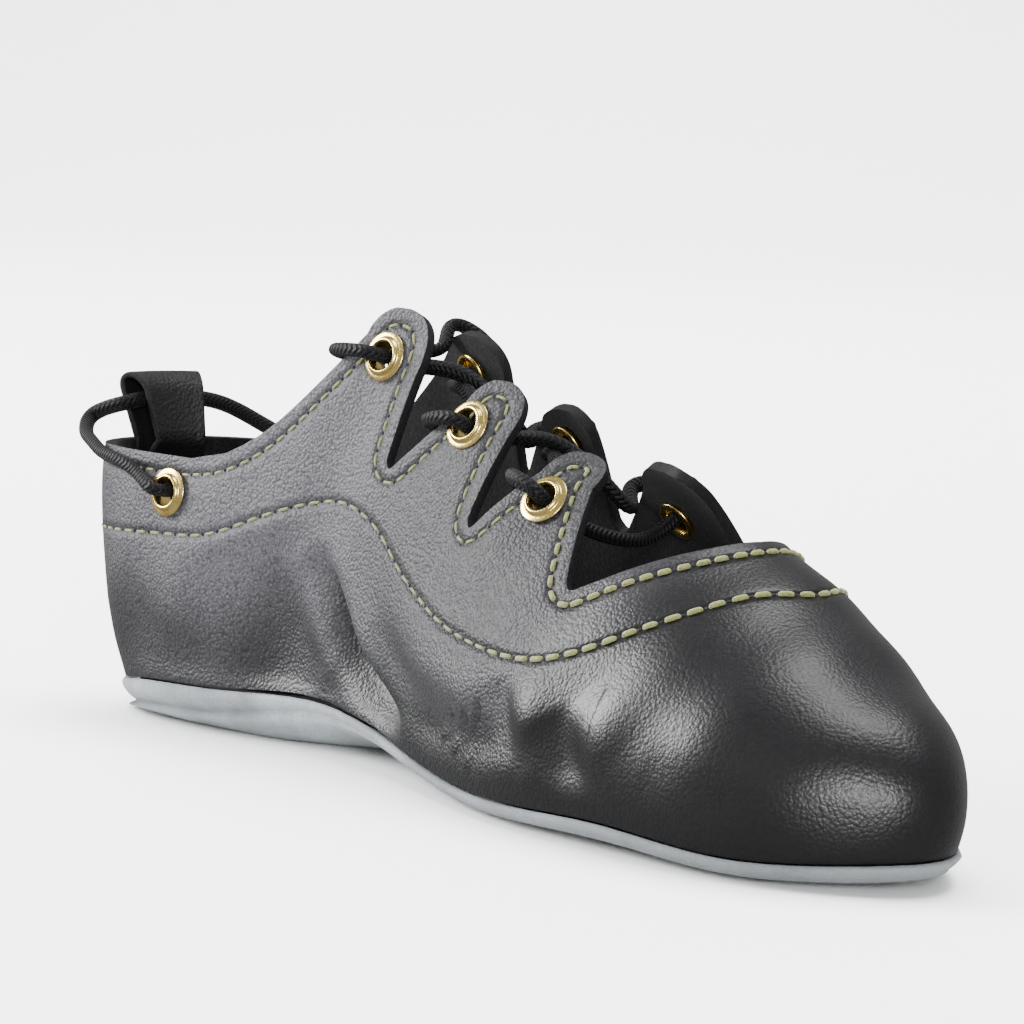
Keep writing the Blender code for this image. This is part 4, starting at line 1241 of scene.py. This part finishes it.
def eyelet_profile():
    """Radius and height round the brass ring: a roll at the bore, a flatter flange and the inner roll."""
    seat, roll = EYELET_SEAT, EYELET_ROLL
    half = EYELET_ROLL_WIDTH / 2
    dome = [(EYELET_BORE + half + half * cos(a), seat + roll * 0.35 + roll * 0.85 * sin(a))
            for a in np.linspace(pi, 0.12 * pi, 12)]
    outer = EYELET_FLANGE - EYELET_BORE - EYELET_ROLL_WIDTH
    flange = [(EYELET_BORE + EYELET_ROLL_WIDTH + outer * share, seat + roll * (0.42 - 0.30 * share**2))
              for share in (0.05, 0.3, 0.6, 0.85, 1.0)]
    inner = -WALL - INNER_SEAT
    body = [(EYELET_FLANGE - 0.0001, seat - 0.0001), (EYELET_BARREL, seat - 0.0001), (EYELET_BARREL, inner),
            (INNER_FLANGE, inner), (INNER_FLANGE - roll * 0.3, inner - roll * 0.6),
            (EYELET_BORE + 0.0003, inner - roll * 0.6), (EYELET_BORE, inner + 0.0002)]
    return (dome + flange + body)[::-1]


def turned(profile, steps):
    """Points and faces of a closed ring turned from a profile."""
    angles = np.linspace(0, 2 * pi, steps, endpoint=False)
    points = [(r * cos(a), r * sin(a), z) for a in angles for r, z in profile]
    count = len(profile)
    faces = []
    for s in range(steps):
        here, ahead = s * count, (s + 1) % steps * count
        for k in range(count):
            faces.append((here + k, here + (k + 1) % count, ahead + (k + 1) % count, ahead + k))
    return points, [face[::-1] for face in faces]


def seat_pose(mark):
    """The pose of an eyelet: on its mark, with Z along the leather's normal."""
    point, normal = mark
    return Matrix.Translation(point) @ normal.to_track_quat("Z", "Y").to_matrix().to_4x4()


# Laces

def through(mark, height, toward):
    """A point in or over an eyelet, where a lace that comes from elsewhere leans on its barrel."""
    point, normal = mark
    pull = Vector(toward) - point
    pull -= normal * pull.dot(normal)
    lean = EYELET_BORE * cos(pi / EYELET_SIDES) - LACE_DIAMETER / 2 - GAP
    return point + normal * height + pull.normalized() * lean


def round_edge(side, name):
    """Three points that carry a lace from the outside of a tab round its rear edge to the inside."""
    rear_foot, rear, _, _, _, eyelet, sweep = TABS[side][name]
    size = np.array((LENGTH, INSTEP_HEIGHT))
    turn = TURN_AT[name]
    edge = np.array(rear_foot) + np.subtract(rear, rear_foot) * (turn**(1 / sweep), turn)
    edge = np.array(TURN_POINTS.get((side, name), edge)) * size
    away = edge - np.array(eyelet) * size
    away /= np.linalg.norm(away)
    over, normal = surface_mark(side, *(edge - away * LACE_TURN * 0.3) / size)
    past, _ = surface_mark(side, *(edge + away * LACE_TURN) / size)
    inside, _ = surface_mark(side, *edge / size)
    return [over + normal * LACE_OVER, past - normal * WALL / 2, inside - normal * (WALL + LACE_UNDER)]


def strand_start(marks, side, name):
    """A lace that comes out of a tab's eyelet and turns round its rear edge."""
    mark = marks[side, name]
    turn = round_edge(side, name)
    return [through(mark, -WALL / 2, turn[0]), through(mark, LACE_OVER, turn[0]), *turn]


def strand_end(marks, side, name, before):
    """A lace that goes into a tab's eyelet from the inside."""
    mark = marks[side, name]
    return [through(mark, INNER_END - LACE_DIAMETER, before), through(mark, INNER_END + GAP, before),
            through(mark, -WALL / 2, before)]


def lace_tube(route):
    """Points, faces, weave coordinates and middle line of a flattened cord, grooved on each face."""
    line = smooth_route(route, LACE_STEP)
    along = unit(np.gradient(line, axis=0))
    across = np.empty_like(along)
    start = np.cross(along[0], (0, 0, 1))
    across[0] = start / np.linalg.norm(start)
    for k in range(1, len(line)):
        carried = across[k - 1] - along[k] * across[k - 1].dot(along[k])
        across[k] = carried / np.linalg.norm(carried)
    upward = np.cross(across, along)
    angle = np.linspace(0, 2 * pi, LACE_SIDES, endpoint=False)
    grooved = 1 - LACE_GROOVE * np.exp(-(np.cos(angle) / 0.22)**2)
    radius = LACE_WIDTH / 2 * (1 + LACE_FLATNESS * np.cos(2 * angle)) * grooved
    wide, high = radius * np.cos(angle), radius * np.sin(angle)
    rings = line[:, None] + across[:, None] * wide[None, :, None] + upward[:, None] * high[None, :, None]
    weave, turn, step = [], 1 / LACE_SIDES, LACE_STEP / WEAVE_PITCH
    for r in range(len(line) - 1):
        for s in range(LACE_SIDES):
            u, v = r * step, s * turn
            weave += [(u, v), (u, v + turn), (u + step, v + turn), (u + step, v)]
    weave += [(0, s * turn) for s in range(LACE_SIDES)] * 2
    return rings.reshape(-1, 3), tube_faces(0, len(line), LACE_SIDES), weave, line


def lace_mesh(name, tubes):
    """Laces as one mesh that keeps the coordinates of their weave."""
    mesh = joined([(points, faces) for points, faces, _, _ in tubes], name)
    layer = mesh.uv_layers.new(name="weave")
    layer.data.foreach_set("uv", np.array([pair for tube in tubes for pair in tube[2]]).ravel())
    return mesh


def lace_routes(marks):
    """The routes of the lace through the tabs, from the bar in front to the bar over the collar."""
    sides = (MEDIAL, LATERAL)
    fronts = [marks[side, "front"] for side in sides]
    middle = sum((point + normal * (INNER_END - LACE_DIAMETER) for point, normal in fronts), Vector()) / 2
    middle += Vector((BAR_SAG[0], 0, BAR_SAG[1]))
    halves = [strand_end(marks, side, "front", middle) for side in sides]
    routes = [[*halves[0][::-1], middle, *halves[1]]]
    for from_tab, to_tab in (("front", "middle"), ("middle", "top")):
        starts = {side: strand_start(marks, side, from_tab) for side in sides}
        ends = [marks[side, to_tab][0] for side in sides]
        centre = sum([starts[MEDIAL][-1], starts[LATERAL][-1], *ends], Vector()) / 4
        centre += Vector((0, 0, CROSS_LIFT))
        for side in sides:
            lifted = centre + Vector((0, 0, side * LACE_DIAMETER * 0.46))
            routes.append([*starts[side], lifted, *strand_end(marks, -side, to_tab, lifted)])
    halves = [strand_start(marks, side, "top") for side in sides]
    routes.append([*halves[0], (halves[0][-1] + halves[1][-1]) / 2, *halves[1][::-1]])
    return routes


def heel_lace_route(marks):
    """The route of the loose lace, out of one heel eyelet, through the pull loop and into the other."""
    route = [Vector(row) * Vector((LENGTH, BALL_WIDTH, INSTEP_HEIGHT)) for row in HEEL_LACE]
    ends = [(marks[side, "heel"], route[k]) for side, k in ((MEDIAL, 0), (LATERAL, -1))]
    out, back = [[through(mark, high, toward) for high in (-WALL / 2, LACE_OVER)] for mark, toward in ends]
    return [*out, *route, *back[::-1]]


# Stage

def add_light(name, kind, place, width, power, mirrored, aim=LIGHT_AIM):
    """A soft light that faces a point."""
    light = bpy.data.lights.new(name, kind)
    light.energy = power
    if kind == "SUN":
        light.angle = width
    else:
        light.shape, light.size = "SQUARE", width
    lamp = bpy.data.objects.new(name, light)
    lamp.location = place
    lamp.visible_glossy = mirrored
    lamp.rotation_euler = (Vector(aim) - Vector(place)).to_track_quat("-Z", "Y").to_euler()
    bpy.context.scene.collection.objects.link(lamp)


# Operators

class GHILLIE_OT_upper(bpy.types.Operator):
    """Makes the leather upper with its tabs, throat, creases, cut edges and eyelet holes"""
    bl_idname = "ghillie.upper"
    bl_label = "Upper"

    def execute(self, context):
        sizes, colours = context.scene.shoe_sizes, context.scene.shoe_colours
        mesh, points, seams = leather_seams()
        mark_seams(mesh, points, seams)
        finishes = [leather_finish(colours, sizes), lining_finish(colours), edge_finish(colours)]
        upper = add_piece("leather_upper", mesh, finishes, ["upper"])
        wall = upper.modifiers.new("wall", "SOLIDIFY")
        wall.thickness, wall.offset, wall.use_even_offset = WALL, -1, True
        wall.material_offset, wall.material_offset_rim = 1, 2
        add_rounding(upper, WALL_ROUNDING)
        punches, radius = Sheet(), EYELET_BARREL + HOLE_CLEARANCE
        for mark in eyelet_marks().values():
            bmesh.ops.create_cone(punches.work, segments=32, radius1=radius, radius2=radius, depth=WALL * 5,
                                  cap_ends=True, matrix=Matrix.Translation(SHOE_ORIGIN) @ seat_pose(mark))
        punch = bpy.data.objects.new("punches", punches.mesh("punches"))
        context.scene.collection.objects.link(punch)
        hole = upper.modifiers.new("pinhole_shades", "BOOLEAN")
        hole.object, hole.operation, hole.solver = punch, "DIFFERENCE", "EXACT"
        apply_modifiers(upper)
        bpy.data.objects.remove(punch)
        upper.data.shade_smooth()
        return {"FINISHED"}


class GHILLIE_OT_seams(bpy.types.Operator):
    """Sews the olive yellow seams beside the cut edge and along the quarters and vamp"""
    bl_idname = "ghillie.seams"
    bl_label = "Seams"

    def execute(self, context):
        sizes, colours = context.scene.shoe_sizes, context.scene.shoe_colours
        thread = thread_finish(colours)
        pitches = {"seam_top": sizes.stitch_pitch, "seam_lower": sizes.vamp_pitch}
        for name, (line, normals) in leather_seams()[2].items():
            points, faces, pinhole_shades = stitches(line, normals, pitches[name], sizes.fine_thread,
                                            sizes.thread_width)
            # The pinhole discs take the dark lining finish as painted shade.
            mesh = mesh_from(points, faces + pinhole_shades, name)
            add_piece(name, mesh, [thread, bpy.data.materials["lining"]])
            mesh.polygons.foreach_set("material_index", [0] * len(faces) + [1] * len(pinhole_shades))
        return {"FINISHED"}


class GHILLIE_OT_sole(bpy.types.Operator):
    """Makes the suede outsole and the lining sock inside"""
    bl_idname = "ghillie.sole"
    bl_label = "Sole"

    def execute(self, context):
        colours = context.scene.shoe_colours
        add_piece("suede_sole", outsole_mesh(), [suede_finish(colours)], ["outsole"])
        add_piece("lining_sock", insole_mesh(), [bpy.data.materials["lining"]], ["insole"])
        return {"FINISHED"}


class GHILLIE_OT_pull_loop(bpy.types.Operator):
    """Makes the folded leather loop that stands inside the back of the heel"""
    bl_idname = "ghillie.pull_loop"
    bl_label = "Heel pull loop"

    def execute(self, context):
        rows = loop_rows()
        strip = Sheet()
        strip.add([[inside_heel(across, depth, height) for depth, height in rows]
                   for across in np.linspace(-LOOP_WIDTH / 2, LOOP_WIDTH / 2, 19)])
        finishes = [bpy.data.materials[name] for name in ("black_leather", "lining", "leather_edge")]
        mesh = strip.mesh("pull_loop")
        loop = add_piece("pull_loop", mesh, finishes, ["heel_pull_loop"])
        leaf = loop.modifiers.new("leaf", "SOLIDIFY")
        leaf.thickness, leaf.offset = LOOP_THICKNESS, 0
        leaf.material_offset_rim = 2
        add_rounding(loop, LOOP_ROUNDING)
        apply_modifiers(loop)
        return {"FINISHED"}


class GHILLIE_OT_eyelets(bpy.types.Operator):
    """Sets the eight rolled brass eyelets"""
    bl_idname = "ghillie.eyelets"
    bl_label = "Eyelets"

    def execute(self, context):
        brass = brass_finish(context.scene.shoe_colours)
        for (side, name), mark in eyelet_marks().items():
            label = f"{SIDE_NAMES[side]}_{name}"
            mesh = mesh_from(*turned(eyelet_profile(), 48), f"ring_{label}")
            mesh.transform(seat_pose(mark))
            add_piece(f"ring_{label}", mesh, [brass], [f"eyelet_{label}"])
        return {"FINISHED"}


class GHILLIE_OT_laces(bpy.types.Operator):
    """Laces the tabs and runs the loose lace round the heel"""
    bl_idname = "ghillie.laces"
    bl_label = "Laces"

    def execute(self, context):
        lace = lace_finish(context.scene.shoe_colours)
        marks = eyelet_marks()
        tubes = [lace_tube(route) for route in lace_routes(marks)]
        nodes = ["lace_bar_front", "lace_cross_front", "lace_cross_rear", "lace_bar_top"]
        add_piece("tab_lace", lace_mesh("tab_lace", tubes), [lace], nodes)
        tube = lace_tube(heel_lace_route(marks))
        mesh = lace_mesh("heel_lace", [tube])
        heel_lace = add_piece("heel_lace", mesh, [lace], ["lace_heel"])
        path = [tuple(Vector(point) + SHOE_ORIGIN) for point in tube[3]]
        length = sum((Vector(b) - Vector(a)).length for a, b in zip(path, path[1:]))
        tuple(path[0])
        return {"FINISHED"}


class GHILLIE_OT_stage(bpy.types.Operator):
    """Sets the pale floor, the soft lights and the camera"""
    bl_idname = "ghillie.stage"
    bl_label = "Stage"

    def execute(self, context):
        sizes, colours = context.scene.shoe_sizes, context.scene.shoe_colours
        start, end = FLOOR_ENDS
        profile = [(start, 0.0)] + [(end + BEND_RADIUS * sin(a), BEND_RADIUS * (1 - cos(a)))
                                    for a in np.linspace(0, pi / 2, 16)]
        profile.append((end + BEND_RADIUS, BACKDROP_TOP))
        toward = Matrix.Rotation(STAGE_TURN, 4, "Z")
        points = [toward @ Vector((side, reach, height))
                  for reach, height in profile for side in (-FLOOR_SIDE, FLOOR_SIDE)]
        faces = [(2 * k, 2 * k + 1, 2 * k + 3, 2 * k + 2) for k in range(len(profile) - 1)]
        mesh = mesh_from(points, faces, "floor")
        mesh.shade_smooth()
        mesh.materials.append(floor_finish(colours))
        floor = bpy.data.objects.new("floor", mesh)
        context.scene.collection.objects.link(floor)
        floor.visible_glossy = False
        for light in LIGHTS:
            add_light(*light)
        place, aim = toward @ Vector(BACKDROP_LIGHT), toward @ Vector(BACKDROP_AIM)
        add_light("backdrop_light", "AREA", place, 1.6, 190.0, False, aim)
        world = bpy.data.worlds.new("studio")
        world.use_nodes = True
        world.node_tree.nodes["Background"].inputs["Color"].default_value = (1, 1, 1, 1)
        world.node_tree.nodes["Background"].inputs["Strength"].default_value = DAYLIGHT
        context.scene.world = world
        turn = Vector(sizes.camera_turn)
        right, down, forward = Matrix.Rotation(turn.length, 3, turn)
        pose = Matrix((right, -down, -forward)).transposed().to_4x4()
        pose.translation = Vector(sizes.camera_place) + SHOE_ORIGIN
        camera = bpy.data.objects.new("camera", bpy.data.cameras.new("camera"))
        camera.data.sensor_width, camera.data.lens = 36, sizes.camera_lens
        camera.data.clip_start, camera.data.clip_end = 0.01, 50
        camera.matrix_world = pose
        context.scene.collection.objects.link(camera)
        context.scene.camera = camera
        return {"FINISHED"}


STEPS = (GHILLIE_OT_stage, GHILLIE_OT_upper, GHILLIE_OT_seams, GHILLIE_OT_sole, GHILLIE_OT_pull_loop,
         GHILLIE_OT_eyelets, GHILLIE_OT_laces)


class GHILLIE_PT_shoe(bpy.types.Panel):
    """The shoe's sizes, colours and pieces"""
    bl_idname = "GHILLIE_PT_shoe"
    bl_label = "Ghillie shoe"
    bl_space_type = "VIEW_3D"
    bl_region_type = "UI"
    bl_category = "Shoe"

    def draw(self, context):
        for group in (context.scene.shoe_sizes, context.scene.shoe_colours):
            for name in group.__annotations__:
                self.layout.prop(group, name)
        for step in STEPS:
            self.layout.operator(step.bl_idname)


CLASSES = (ShoeSizes, ShoeColours, *STEPS, GHILLIE_PT_shoe)


def register():
    for each in CLASSES:
        bpy.utils.register_class(each)
    bpy.types.Scene.shoe_sizes = bpy.props.PointerProperty(type=ShoeSizes)
    bpy.types.Scene.shoe_colours = bpy.props.PointerProperty(type=ShoeColours)


def unregister():
    del bpy.types.Scene.shoe_sizes
    del bpy.types.Scene.shoe_colours
    for each in reversed(CLASSES):
        bpy.utils.unregister_class(each)


def main():
    """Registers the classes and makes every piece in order."""
    register()
    bpy.ops.ghillie.stage()
    bpy.ops.ghillie.upper()
    bpy.ops.ghillie.seams()
    bpy.ops.ghillie.sole()
    bpy.ops.ghillie.pull_loop()
    bpy.ops.ghillie.eyelets()
    bpy.ops.ghillie.laces()


if __name__ == "__main__":
    main()
